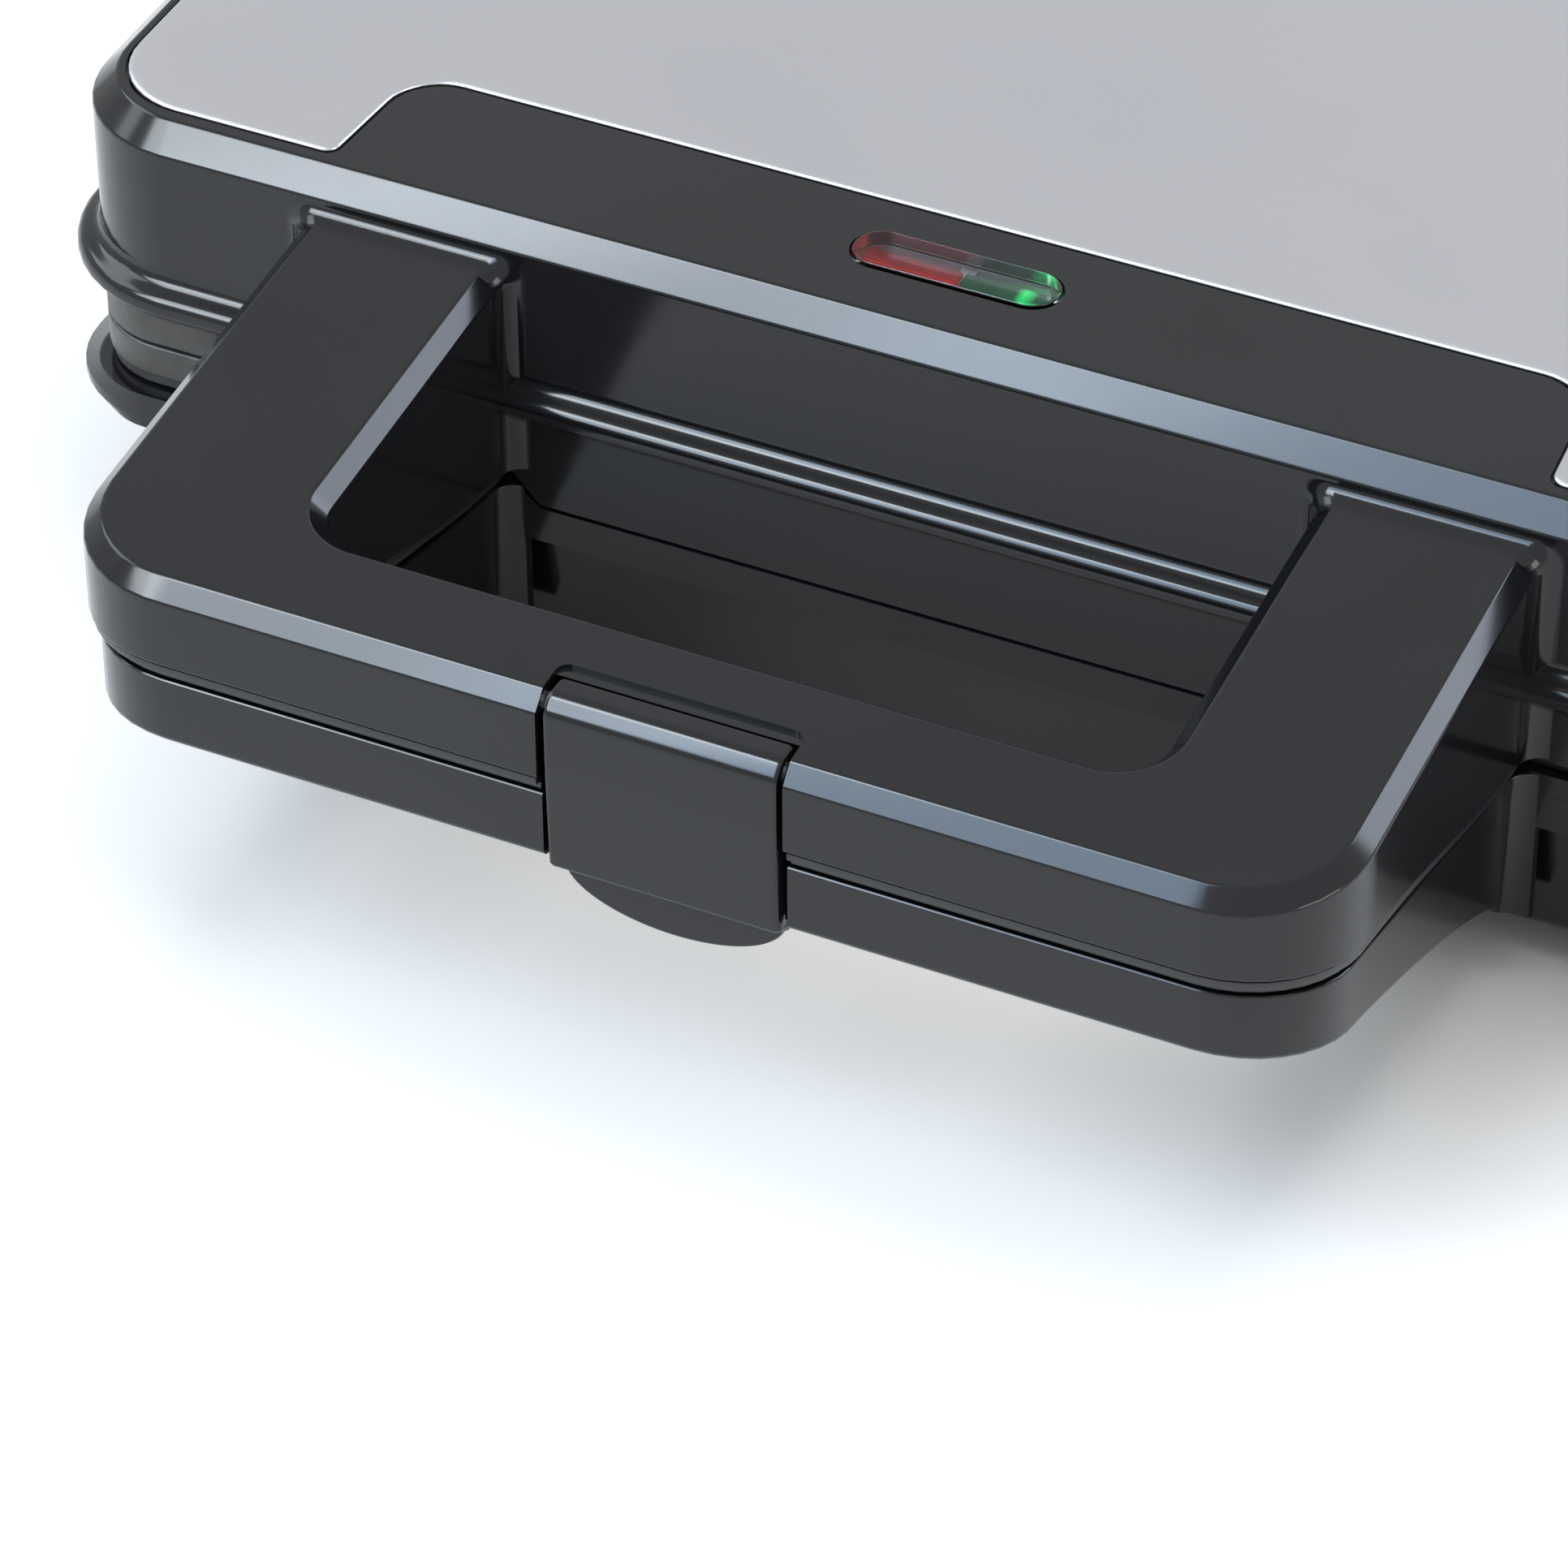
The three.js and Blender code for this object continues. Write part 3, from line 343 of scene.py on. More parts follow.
def rod(x0, x1, cy, cz, radius, edge=0.0, segments=32):
    profile = [(0, x0), (radius - edge, x0), (radius, x0 + edge),
               (radius, x1 - edge), (radius - edge, x1), (0, x1)]
    if not edge:
        profile = [(0, x0), (radius, x0), (radius, x1), (0, x1)]
    return revolve(profile, (0, cy, cz), segments, "X")


def combine(base, operation, tools):
    """Joins tools to base, or cuts them out of it, and deletes them."""
    for tool in tools:
        step = base.modifiers.new("step", "BOOLEAN")
        step.operation = operation
        step.object = tool
        step.solver = "MANIFOLD"
        bpy.context.view_layer.update()
        depsgraph = bpy.context.evaluated_depsgraph_get()
        result = bpy.data.meshes.new_from_object(base.evaluated_get(depsgraph))
        base.modifiers.clear()
        old = base.data
        base.data = result
        bpy.data.meshes.remove(old)
        bpy.data.objects.remove(tool)
    return base


def join(base, *tools):
    return combine(base, "UNION", tools)


def cut(base, *tools):
    return combine(base, "DIFFERENCE", tools)


def finished(piece, name, material, body, slot, *nodes, angle=32):
    """Names and shades a piece, and ties it to the frame."""
    piece.name = name
    piece.data.name = name
    piece.data.materials.clear()
    piece.data.materials.append(material)
    for polygon in piece.data.polygons:
        polygon.use_smooth = True
        polygon.material_index = 0
    piece.data.set_sharp_from_angle(angle=math.radians(angle))
    weighted = piece.modifiers.new("weighted", "WEIGHTED_NORMAL")
    weighted.keep_sharp = True
    weighted.weight = 90
    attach(piece, body)
    if nodes:
        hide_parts(*nodes)
    return piece


# --------------------------------------------------------------------------- materials
class Nodes:
    """A material with a Principled shader, and short ways to add nodes to it."""

    def __init__(self, name, **values):
        self.material = bpy.data.materials.new(name)
        self.material.use_nodes = True
        self.tree = self.material.node_tree
        self.shader = self.tree.nodes["Principled BSDF"]
        for socket, value in values.items():
            self.shader.inputs[socket.replace("_", " ")].default_value = value
        self.place = self.add("ShaderNodeTexCoord").outputs["Object"]

    def add(self, kind, **values):
        node = self.tree.nodes.new(kind)
        for key, value in values.items():
            if key in node.inputs:
                node.inputs[key].default_value = value
            else:
                setattr(node, key, value)
        return node

    def link(self, output, target):
        self.tree.links.new(output, target)

    def noise(self, scale, detail=3.0, stretch=None, roughness=0.5):
        """Noise at a scale per metre, stretched if asked."""
        texture = self.add("ShaderNodeTexNoise", Scale=scale, Detail=detail)
        texture.inputs["Roughness"].default_value = roughness
        source = self.place
        if stretch:
            mapping = self.add("ShaderNodeMapping")
            mapping.inputs["Scale"].default_value = stretch
            self.link(self.place, mapping.inputs["Vector"])
            source = mapping.outputs["Vector"]
        self.link(source, texture.inputs["Vector"])
        return texture.outputs["Fac"]

    def spread(self, value, low, high):
        """A 0 to 1 value mapped to a range."""
        node = self.add("ShaderNodeMapRange")
        node.inputs["To Min"].default_value = low
        node.inputs["To Max"].default_value = high
        self.link(value, node.inputs["Value"])
        return node.outputs["Result"]

    def ramp(self, value, stops):
        """A colour ramp through (position, colour) stops."""
        node = self.add("ShaderNodeValToRGB")
        elements = node.color_ramp.elements
        for (position, colour), element in zip(stops, elements):
            element.position, element.color = position, (*colour, 1)
        for position, colour in stops[len(elements):]:
            elements.new(position).color = (*colour, 1)
        self.link(value, node.inputs["Fac"])
        return node.outputs["Color"]

    def bump(self, height, strength, distance):
        """A bump, in millimetres of height."""
        node = self.add("ShaderNodeBump", Strength=strength, Distance=distance * MM)
        previous = self.shader.inputs["Normal"]
        if previous.is_linked:
            self.link(previous.links[0].from_socket, node.inputs["Normal"])
        self.link(height, node.inputs["Height"])
        self.link(node.outputs["Normal"], previous)

    def set(self, socket, output):
        self.link(output, self.shader.inputs[socket])


def gloss_plastic():
    """Black moulded plastic, polished, with a faint unevenness in its gloss."""
    m = Nodes("gloss_plastic", IOR=1.44)
    shades = [(0.3, (0.0036, 0.0038, 0.0045)), (0.75, (0.005, 0.0053, 0.0062))]
    m.set("Base Color", m.ramp(m.noise(26, 4), shades))
    m.set("Roughness", m.spread(m.noise(90, 5), 0.1, 0.17))
    m.bump(m.noise(1600, 2), 0.05, 0.02)
    m.bump(m.noise(55, 3), 0.12, 0.05)
    return m.material


def dark_plastic():
    """The same plastic with an eroded, matt surface."""
    m = Nodes("dark_plastic", IOR=1.5)
    m.set("Base Color", m.ramp(m.noise(40, 4), [(0.3, (0.010, 0.010, 0.011)), (0.7, (0.014, 0.014, 0.015))]))
    m.set("Roughness", m.spread(m.noise(400, 4), 0.24, 0.36))
    m.bump(m.noise(2600, 3), 0.25, 0.05)
    return m.material


def inlay_steel():
    """Satin steel sheet with fine brushing along X and a slightly cool tone."""
    m = Nodes("inlay_steel", Metallic=1.0, Anisotropic=0.35)
    brushing = m.noise(700, 5, stretch=(0.03, 3.0, 1.0), roughness=0.75)
    cloud = m.noise(14, 3)
    m.set("Base Color", m.ramp(cloud, [(0.25, (0.60, 0.60, 0.635)), (0.8, (0.655, 0.65, 0.677))]))
    m.set("Roughness", m.spread(brushing, 0.2, 0.42))
    m.bump(brushing, 0.3, 0.02)
    return m.material


def coated_cast():
    """Cast plate with a dark grey non-stick coating that has a fine grain."""
    m = Nodes("coated_cast", Metallic=0.35)
    patches = m.noise(130, 6, roughness=0.7)
    m.set("Base Color", m.ramp(patches, [(0.3, (0.036, 0.035, 0.034)), (0.72, (0.066, 0.064, 0.061))]))
    m.set("Roughness", m.spread(m.noise(220, 4), 0.3, 0.52))
    m.bump(m.noise(1500, 4), 0.5, 0.08)
    return m.material


def zinc_steel():
    m = Nodes("zinc_steel", Metallic=1.0)
    m.set("Base Color", m.ramp(m.noise(240, 4), [(0.3, (0.46, 0.47, 0.48)), (0.7, (0.62, 0.62, 0.63))]))
    m.set("Roughness", m.spread(m.noise(700, 3), 0.24, 0.42))
    m.bump(m.noise(3000, 2), 0.12, 0.02)
    return m.material


def sheet_aluminium():
    m = Nodes("sheet_aluminium", Metallic=1.0)
    rolling = m.noise(500, 3, stretch=(1.0, 0.05, 1.0))
    m.set("Base Color", m.ramp(m.noise(30, 3), [(0.3, (0.68, 0.69, 0.71)), (0.7, (0.78, 0.79, 0.80))]))
    m.set("Roughness", m.spread(rolling, 0.25, 0.42))
    m.bump(rolling, 0.1, 0.02)
    return m.material


def pale_plastic():
    m = Nodes("pale_plastic", IOR=1.5)
    m.set("Base Color", m.ramp(m.noise(60, 4), [(0.3, (0.66, 0.63, 0.56)), (0.7, (0.75, 0.72, 0.65))]))
    m.set("Roughness", m.spread(m.noise(500, 3), 0.42, 0.58))
    m.bump(m.noise(2200, 3), 0.15, 0.03)
    return m.material


def foot_rubber():
    m = Nodes("foot_rubber", IOR=1.5)
    m.set("Base Color", m.ramp(m.noise(120, 4), [(0.3, (0.012, 0.012, 0.012)), (0.7, (0.022, 0.022, 0.022))]))
    m.set("Roughness", m.spread(m.noise(600, 3), 0.7, 0.86))
    m.bump(m.noise(2800, 4), 0.4, 0.05)
    return m.material


def clear_lens():
    """Moulded window, see-through, faintly streaked by its flow. Its dark grey tint is painted shade: it
    darkens the lamp parts seen through it, in place of the shade under the window.
    """
    m = Nodes("clear_lens", Transmission_Weight=1.0, IOR=1.22, Coat_Weight=0.25)
    # painted shade: this grey tint darkens what is seen through the window, standing in for the shade in the
    # recess below it
    m.shader.inputs["Base Color"].default_value = (0.36, 0.37, 0.39, 1)
    m.set("Roughness", m.spread(m.noise(300, 3), 0.0, 0.04))
    m.bump(m.noise(500, 2, stretch=(0.3, 1.0, 1.0)), 0.03, 0.03)
    return m.material


def lamp_glass(name, dark, bright, glow, strength, axis, knots):
    """Tinted lamp body with streaks, lit from inside. The glow follows one axis through
    (place in millimetres, share) knots."""
    m = Nodes(name, IOR=1.3)
    streaks = m.noise(700, 4, stretch=(0.5, 1.4, 1.0))
    m.set("Base Color", m.ramp(streaks, [(0.3, dark), (0.72, bright)]))
    m.set("Roughness", m.spread(streaks, 0.12, 0.25))
    m.set("Emission Color", m.ramp(streaks, [(0.35, tuple(0.6 * c for c in glow)), (0.75, glow)]))
    split = m.add("ShaderNodeSeparateXYZ")
    m.link(m.place, split.inputs["Vector"])
    low, high = knots[0][0] * MM, knots[-1][0] * MM
    scaled = m.add("ShaderNodeMapRange")
    scaled.inputs["From Min"].default_value = low
    scaled.inputs["From Max"].default_value = high
    m.link(split.outputs[axis], scaled.inputs["Value"])
    stops = [((place * MM - low) / (high - low), (share * strength,) * 3) for place, share in knots]
    m.set("Emission Strength", m.ramp(scaled.outputs["Result"], stops))
    m.bump(streaks, 0.1, 0.1)
    return m.material


def floor_paint():
    m = Nodes("floor_paint")
    m.set("Base Color", m.ramp(m.noise(6, 2), [(0.3, (0.49, 0.488, 0.485)), (0.7, (0.51, 0.508, 0.505))]))
    m.set("Roughness", m.spread(m.noise(80, 2), 0.75, 0.85))
    return m.material


BLACK = gloss_plastic()
DARK = dark_plastic()
STEEL = inlay_steel()
COATED = coated_cast()
ZINC = zinc_steel()
SHEET = sheet_aluminium()
PALE = pale_plastic()
RUBBER = foot_rubber()
CLEAR = clear_lens()
LAMP_Y = y(LENS_Y)
LAMP_HALF = 2.6
LAMP_END = 12.4
RED = lamp_glass("red_glass", (0.10, 0.001, 0.002), (0.26, 0.003, 0.004), (1.0, 0.012, 0.018), 5.5, "Y",
                 [(LAMP_Y - LAMP_HALF, 1.0), (LAMP_Y - 0.3, 0.85), (LAMP_Y + 0.2, 0.10),
                  (LAMP_Y + LAMP_HALF, 0.05)])
GREEN = lamp_glass("green_glass", (0.0, 0.022, 0.009), (0.001, 0.065, 0.024), (0.004, 0.75, 0.16), 4.4, "X",
                   [(0, 0.03), (7.2, 0.05), (8.2, 0.8), (8.9, 0.5), (9.8, 0.04), (LAMP_END, 0.03)])

# ---------------------------------------------------------------------------- U handle
UPPER_PARTING = smooth_line([(-70, 22.2), (-64, 22.6), (-42, 25.6), (-3, 35), (3, 35)])
LOWER_PARTING = smooth_line([(-70, 25.1), (-62, 25.8), (-36, 30.6), (-3, 37.6), (3, 37.6)])
UNDERSIDE = smooth_line([(-70, 34), (-64, 35), (-46, 39.2), (-8, 54.5), (3, 61.5)])
CORNER_STATIONS = 18
ARM_STEP = 3.0


def handle_top(distance):
    return HANDLE_TOP - HANDLE_SLOPE * distance


def along(points, share):
    """The point at a share of a path's length, and its direction."""
    lengths = [math.dist(a, b) for a, b in zip(points, points[1:])]
    left = share * sum(lengths)
    for (a, b), length in zip(zip(points, points[1:]), lengths):
        if left <= length + 1e-9:
            break
        left -= length
    t = min(1.0, left / length)
    direction = (Vector(b) - Vector(a)).normalized()
    return Vector(a) + (Vector(b) - Vector(a)) * t, direction


def handle_stations(grow, reach_end):
    """Pairs of (outer point, outer normal, inner point, inner normal) along the U from
    the left arm's rear end to the right arm's, in distances from the front wall. The
    faces move into the material by grow."""
    half = HANDLE_HALF - grow
    front = -HANDLE_REACH + grow
    radius = max(HANDLE_CORNER - grow, 1.0)
    inner_half = OPENING_HALF + grow
    inner_front = -OPENING_FRONT - grow
    inner_radius = OPENING_CORNER + 0.5 * grow
    arm_end = inner_front + inner_radius
    left = []
    steps = max(1, round((reach_end - arm_end) / ARM_STEP))
    for i in range(steps):
        here = reach_end + (arm_end - reach_end) * i / steps
        left.append(((-half, here), (1, 0), (-inner_half, here), (-1, 0)))
    outer_path = [(-half, arm_end)] + arc(-half + radius, front + radius, radius, 180, 270, 24)
    outer_path.append((-inner_half + inner_radius, front))
    for i in range(CORNER_STATIONS + 1):
        share = i / CORNER_STATIONS
        turn = math.radians(180 + 90 * share)
        centre = (-inner_half + inner_radius, arm_end)
        inner = (centre[0] + inner_radius * math.cos(turn), centre[1] + inner_radius * math.sin(turn))
        point, direction = along(outer_path, share)
        left.append((tuple(point), (-direction.y, direction.x), inner, (math.cos(turn), math.sin(turn))))
    right = [((-o[0], o[1]), (-n[0], n[1]), (-i[0], i[1]), (-m[0], m[1])) for o, n, i, m in left]
    return left + right[::-1]


def handle_strip(grow, top, bottom, top_edge, bottom_edge, reach_end):
    """A U-shaped solid between two surfaces given as depths. An edge is a list of (in,
    down or up) steps from the face to the surface, such as a chamfer's."""
    vertices = []
    stations = handle_stations(grow, reach_end)
    for outer, normal, inner, inner_normal in stations:
        section = []
        for side, point, way in ((0, outer, normal), (1, inner, inner_normal)):
            flank = []
            for step_in, rise in bottom_edge[::-1]:
                px, py = (point[k] + way[k] * step_in for k in (0, 1))
                flank.append((px, y(py), z(bottom(py)) + rise))
            for step_in, drop in top_edge:
                px, py = (point[k] + way[k] * step_in for k in (0, 1))
                flank.append((px, y(py), z(top(py)) - drop))
            section += flank[::-1] if side else flank
        vertices += section
    count = len(section)
    faces = []
    for s in range(len(stations) - 1):
        for k in range(count):
            after = (k + 1) % count
            a, b = s * count, (s + 1) * count
            faces.append((a + k, a + after, b + after, b + k))
    last = (len(stations) - 1) * count
    faces.append(tuple(range(count)))
    faces.append(tuple(range(last, last + count))[::-1])
    return mesh_object("strip", vertices, faces)


def edge_steps(size, soft, chamfer=True, steps=3):
    """Steps of an edge from surface to face: a chamfer with softened corners, or a
    round, as (in, down) pairs that start on the face."""
    if chamfer:
        path = rounded([(0, size * 3), (0, size), (size, 0), (size * 3, 0)], [0, soft, soft, 0], steps)
        return path[1:-1]
    return [(size * (1 - math.cos(t)), size * (1 - math.sin(t)))
            for t in (math.radians(90 * i / steps) for i in range(steps + 1))]


def arm_root(side, top, bottom, half, inner_half, top_round, flare, top_flare):
    """The flared end of an arm, where it fillets into the front wall."""
    levels = []
    steps = 12
    turns = [math.radians(90 * i / steps) for i in range(steps + 1)]
    outline_at = []
    for turn in turns:
        grow = 1 - math.cos(turn)
        back = -flare * (1 - math.sin(turn)) - 0.02
        outline_at.append((back, flare * grow, top_flare * grow))
    outline_at.append((SKIRT_THICK, flare, top_flare))
    for back, wide, tall in outline_at:
        x0 = inner_half - wide
        x1 = half + wide
        low = z(bottom(back))
        high = z(top(back)) + tall
        section = rounded([(x0, low), (x1, low), (x1, high), (x0, high)],
                          [0, 0, top_round, top_round], 7, closed=True)
        levels.append(([(side * u, v) for u, v in section], back))
    return loft(levels, place=lambda u, v, w: (u, y(w), v))


def latch_notch():
    """Tools for the notch in the handle's front: its mouth, the room that the latch's
    barrel turns in, and a shallow step behind it."""
    def plan(rear, radius):
        outline = [(-NOTCH_HALF, y(-BEYOND)), (NOTCH_HALF, y(-BEYOND)),
                   (NOTCH_HALF, y(rear)), (-NOTCH_HALF, y(rear))]
        return rounded(outline, [0, 0, radius, radius], 6, closed=True)

    step = handle_top(-60.5) + 0.45
    mouth = prism(plan(-61.1, 0.3), z(BEYOND), z(0.5))
    shelf = prism(plan(-59.4, 1.6), z(step), z(0.5))
    below = prism(plan(-59.4, 0.3), z(BEYOND), z(17.5))
    return [mouth, shelf, below, rod(-NOTCH_HALF, NOTCH_HALF, y(LATCH_Y), z(LATCH_Z), 3.1, 0, 48)]


def lid_handle():
    """Upper half of the U: chamfered, hollow below, with its two flared roots."""
    edge = edge_steps(2.2, 0.7)
    foot = edge_steps(0.35, 0, chamfer=False)
    strip = handle_strip(0, handle_top, UPPER_PARTING, edge, foot, 1.2)
    room = handle_strip(HANDLE_WALL, lambda d: UPPER_PARTING(d) - 3.7, lambda d: UPPER_PARTING(d) + 4,
                        [(0, 0)], [(0, 0)], -2.5)
    cut(strip, room)
    for side in (-1, 1):
        join(strip, arm_root(side, handle_top, UPPER_PARTING, HANDLE_HALF, OPENING_HALF,
                             2.9, ROOT_FLARE, 1.4))
    return strip


def base_handle():
    """Lower half of the U, a little inside the upper one."""
    edge = edge_steps(0.4, 0, chamfer=False)
    foot = edge_steps(1.0, 0, chamfer=False)
    strip = handle_strip(LOWER_INSET, LOWER_PARTING, UNDERSIDE, edge, foot, 5.0)
    room = handle_strip(LOWER_INSET + HANDLE_WALL, lambda d: LOWER_PARTING(d) - 4,
                        lambda d: LOWER_PARTING(d) + 1.1,
                        [(0, 0)], [(0, 0)], -2.5)
    return cut(strip, room)


# --------------------------------------------------------------------------- lid pieces
def inlay_outline(grow, steps=8):
    """The steel sheet in plan, stepped back in front for the window."""
    half = 110.5 + grow
    front = 5.2 - grow
    step_back = 24.4 - grow
    rear = BODY_DEPTH - 5.2 + grow
    lobe = 77.9 - grow
    waist = 76.5 - grow
    knots = [(-half, front), (-lobe, front), (-waist, step_back), (waist, step_back), (lobe, front),
             (half, front), (half, rear), (-half, rear)]
    radii = [11, 1.9, 7, 7, 1.9, 11, 11, 11]
    path = rounded(knots, radii, steps, closed=True)
    return [(u, y(v)) for u, v in path]


def cover_levels():
    """(offset, depth) down the outside: rounded chamfer, wall, shelf and bead."""
    top = rounded([(-8, 0), (-3.3, 0), (0, 3.3), (0, 12)], [0, 0.8, 0.8, 0], 4)[1:-1]
    bead = rounded([(0, 12), (0, 21.9), (BEAD_OUT, 23.1), (BEAD_OUT, 24.9), (1.2, 27), (-1.2, 27)],
                   [0, 2.0, 1.8, 0.5, 0.4, 0], 8)[1:-1]
    return top + bead


def lid_cover():
    """Hollow cover with its front skirt and the upper half of the handle."""
    levels = [(body_loop(offset), z(depth)) for offset, depth in cover_levels()[::-1]]
    shell = loft(levels)
    skirt = front_prism(rounded([
        (-92.7, z(20)), (-92.7, z(35.6)), (-52.6, z(35.6)), (-48.6, z(40.05)),
        (48.6, z(40.05)), (52.6, z(35.6)), (92.7, z(35.6)), (92.7, z(20))],
        [0, 2, 2, 1.2, 1.2, 2, 2, 0], 5), y(0.02), y(SKIRT_THICK))
    join(shell, lid_handle(), skirt)
    cavity = loft([(body_loop(-SHELL), z(COVER_EDGE + 1)), (body_loop(-SHELL), z(6)),
                   (body_loop(-SHELL - 1), z(4)), (body_loop(-SHELL - 2.5), z(3.4))])
    cut(shell, cavity)
    return shell


def hinge_knuckle(side):
    """Barrel on the lid, with the web that ties it to the rear wall."""
    x0 = side * HINGE_X - KNUCKLE_HALF
    x1 = side * HINGE_X + KNUCKLE_HALF
    cy, cz = y(HINGE_Y), z(HINGE_Z)
    web = side_prism([
        (cy - KNUCKLE_R, cz), (cy + KNUCKLE_R, cz), (cy + KNUCKLE_R, cz + 4),
        (y(BODY_DEPTH + 1), z(16)), (y(BODY_DEPTH - 1.5), z(16)),
        (y(BODY_DEPTH - 1.5), z(COVER_EDGE - 0.5)), (cy - KNUCKLE_R, z(COVER_EDGE - 0.5))],
        x0, x1, 0.6)
    return join(rod(x0, x1, cy, cz, KNUCKLE_R, 0.6), web)


def corners():
    """Signs of X and Y and a name for each corner of the body."""
    for sy, end in ((-1, "front"), (1, "rear")):
        for sx, side in ((-1, "left"), (1, "right")):
            yield sx, sy, f"{end}_{side}"


def cover_piece():
    cover = lid_cover()
    for sx, sy, _ in corners():
        join(cover, post(sx * SCREW_X, CENTRE_Y + sy * SCREW_Y, 5, z(10.3), z(2)))
    join(cover, hinge_knuckle(-1), hinge_knuckle(1))
    tools = latch_notch()
    for sx, sy, _ in corners():
        cx, cy = sx * SCREW_X, CENTRE_Y + sy * SCREW_Y
        tools += [post(cx, cy, HEAD_HOLE, z(3.6), z(-1)), post(cx, cy, SCREW_HOLE, z(12), z(3))]
    for side in (-1, 1):
        tools.append(post(side * ARM_X, y(ARM_SCREW_Y), SCREW_HOLE, z(40), z(16)))
        tools.append(rod(side * HINGE_X - 20, side * HINGE_X + 20, y(HINGE_Y), z(HINGE_Z), HINGE_BORE))
    tools.append(rod(-18.3, 18.3, y(LATCH_Y), z(LATCH_Z), LATCH_BORE))
    tools.append(prism(inlay_outline(GAP), z(0.8), z(-1)))
    tools.append(prism(obround(27.2, 7.8, y(LENS_Y)), z(6), z(-1)))
    cut(cover, *tools)
    return finished(cover, "lid_cover_moulding", BLACK, "lid", "black_plastic", "upper_cover")


def inlay_piece():
    """Steel sheet whose edge rolls down into its recess."""
    roll = [(0.4, 0.5), (0.1, 0.4), (0, 0.2), (0, -0.02), (0.06, -0.2), (0.25, -0.34),
            (0.6, -0.44), (1.1, -0.49), (1.6, -0.5)]
    sheet = loft([(inset(inlay_outline(0, 10), a), z(depth)) for a, depth in roll])
    return finished(sheet, "top_inlay_sheet", STEEL, "lid", "inlay_steel", "top_inlay_panel", angle=50)


def window_piece():
    """Clear obround window that stands a little proud, with a rounded edge."""
    window = soft_prism(obround(26.5, 7.1, y(LENS_Y)), z(2.9), z(-0.45), 0.4, 4)
    return finished(window, "indicator_window", CLEAR, "lid", "clear_lens", "indicator_lens", angle=50)


def lamp_piece(side, name, material, slot, node):
    """Tinted half of the indicator, under the window."""
    x0, x1 = sorted((side * 0.15, side * LAMP_END))
    front, rear = LAMP_Y - LAMP_HALF, LAMP_Y + LAMP_HALF
    outline = rounded([(x0, front), (x1, front), (x1, rear), (x0, rear)], [0.4] * 4, 4, closed=True)
    bar = soft_prism(outline, z(7.6), z(3.2), 0.3)
    return finished(bar, name, material, "lid", slot, node)


def seal_lip(upper, grow):
    """The lip that closes one half of the gap between the handle's two mouldings."""
    way = 1 if upper else -1

    def at_wall(distance):
        parting = UPPER_PARTING if upper else LOWER_PARTING
        return parting(distance) + way * GAP

    def at_middle(distance):
        return 0.5 * (UPPER_PARTING(distance) + LOWER_PARTING(distance)) - way * LIP_SPACE

    top, bottom = (at_wall, at_middle) if upper else (at_middle, at_wall)
    edge = edge_steps(0.18, 0, chamfer=False, steps=2)
    lip = handle_strip(grow, top, bottom, edge, edge, -GAP)
    half = NOTCH_HALF + GAP
    return cut(lip, block(-half, y(-BEYOND), z(BEYOND), half, y(-56.5), z(-10)))


def liner_piece(upper):
    """The strip that closes one half of the handle from inside, with its sealing lip."""
    parting = UPPER_PARTING if upper else LOWER_PARTING
    above, below = (3.4, 0.7) if upper else (1.2, 0.8)
    grow = HANDLE_WALL + (0 if upper else LOWER_INSET) + GAP
    edge = edge_steps(0.25, 0, chamfer=False, steps=2)
    strip = handle_strip(grow, lambda d: parting(d) - above, lambda d: parting(d) + below, edge, edge, -2.9)
    cut(strip, block(-19.3, y(-BEYOND), z(BEYOND), 19.3, y(-56.5), z(-10)))
    join(strip, seal_lip(upper, grow - GAP - HANDLE_WALL + LIP_INSET))
    for side in (-1, 1):
        if upper:
            cut(strip, post(side * ARM_X, y(ARM_SCREW_Y), HEAD_HOLE, z(40), z(26)))
        cut(strip, post(side * ARM_X, y(ARM_SCREW_Y), SCREW_HOLE, z(40), z(20)))
    half = "upper" if upper else "lower"
    return finished(strip, f"{half}_handle_seal", DARK, "lid" if upper else "base", "dark_plastic",
                    f"{half}_handle_liner")


def latch_piece():
    """Latch clip: its barrel, broad face, hook and the half-oval thumb tab."""
    cy, cz = y(LATCH_Y), z(LATCH_Z)
    face = y(-HANDLE_REACH)
    outline = [
        (cy - 1, cz - 2.7), (face + 2.8, z(18)), (face + 2.8, z(34.9)), (y(-58.2), z(34.9)),
        (y(-58.2), z(36.8)), (y(-60.4), z(37.4)), (face + 3.4, z(37)), (face + 0.7, z(35.3)),
        (face + 0.5, z(31)), (face + 0.1, z(20)), (face + 0.1, z(12.85)), (face + 2.0, z(10.95)),
        (cy + 1.6, z(10.95)), (cy + 2.6, cz)]
    radii = [0.5, 1, 0.8, 0.4, 0.5, 0.8, 0.8, 0.7, 12, 12, 1.9, 1.9, 1.0, 1.0]
    side = rounded(outline, radii, 5, closed=True)
    clip = side_prism(side[::-1], -LATCH_HALF, LATCH_HALF, 0.7)
    half = LATCH_HALF - 0.6
    tab_outline = [(half * math.cos(t), z(36.2) + 6.7 * math.sin(t))
                   for t in (math.radians(180 + 180 * i / 40) for i in range(41))]
    tab_outline += [(half, z(35)), (-half, z(35))]
    tab = loft([(inset(tab_outline, 0.5), y(-62.9)), (inset(tab_outline, 0.15), y(-62.75)),
                (tab_outline, y(-62.4)), (tab_outline, y(-60.9)), (inset(tab_outline, 0.15), y(-60.55)),
                (inset(tab_outline, 0.5), y(-60.4))], place=lambda u, v, w: (u, w, v))
    join(clip, tab)
    cut(clip, rod(-LATCH_HALF - 1, LATCH_HALF + 1, cy, cz, LATCH_BORE))
    return finished(clip, "front_latch", BLACK, "latch", "black_plastic", "latch_clip")


# ----------------------------------------------------------------------- cooking plates
RING_PLACES = [(-1, 0), (0, 0), (1, 0), (-0.5, -1), (0.5, -1), (-0.5, 1), (0.5, 1)]


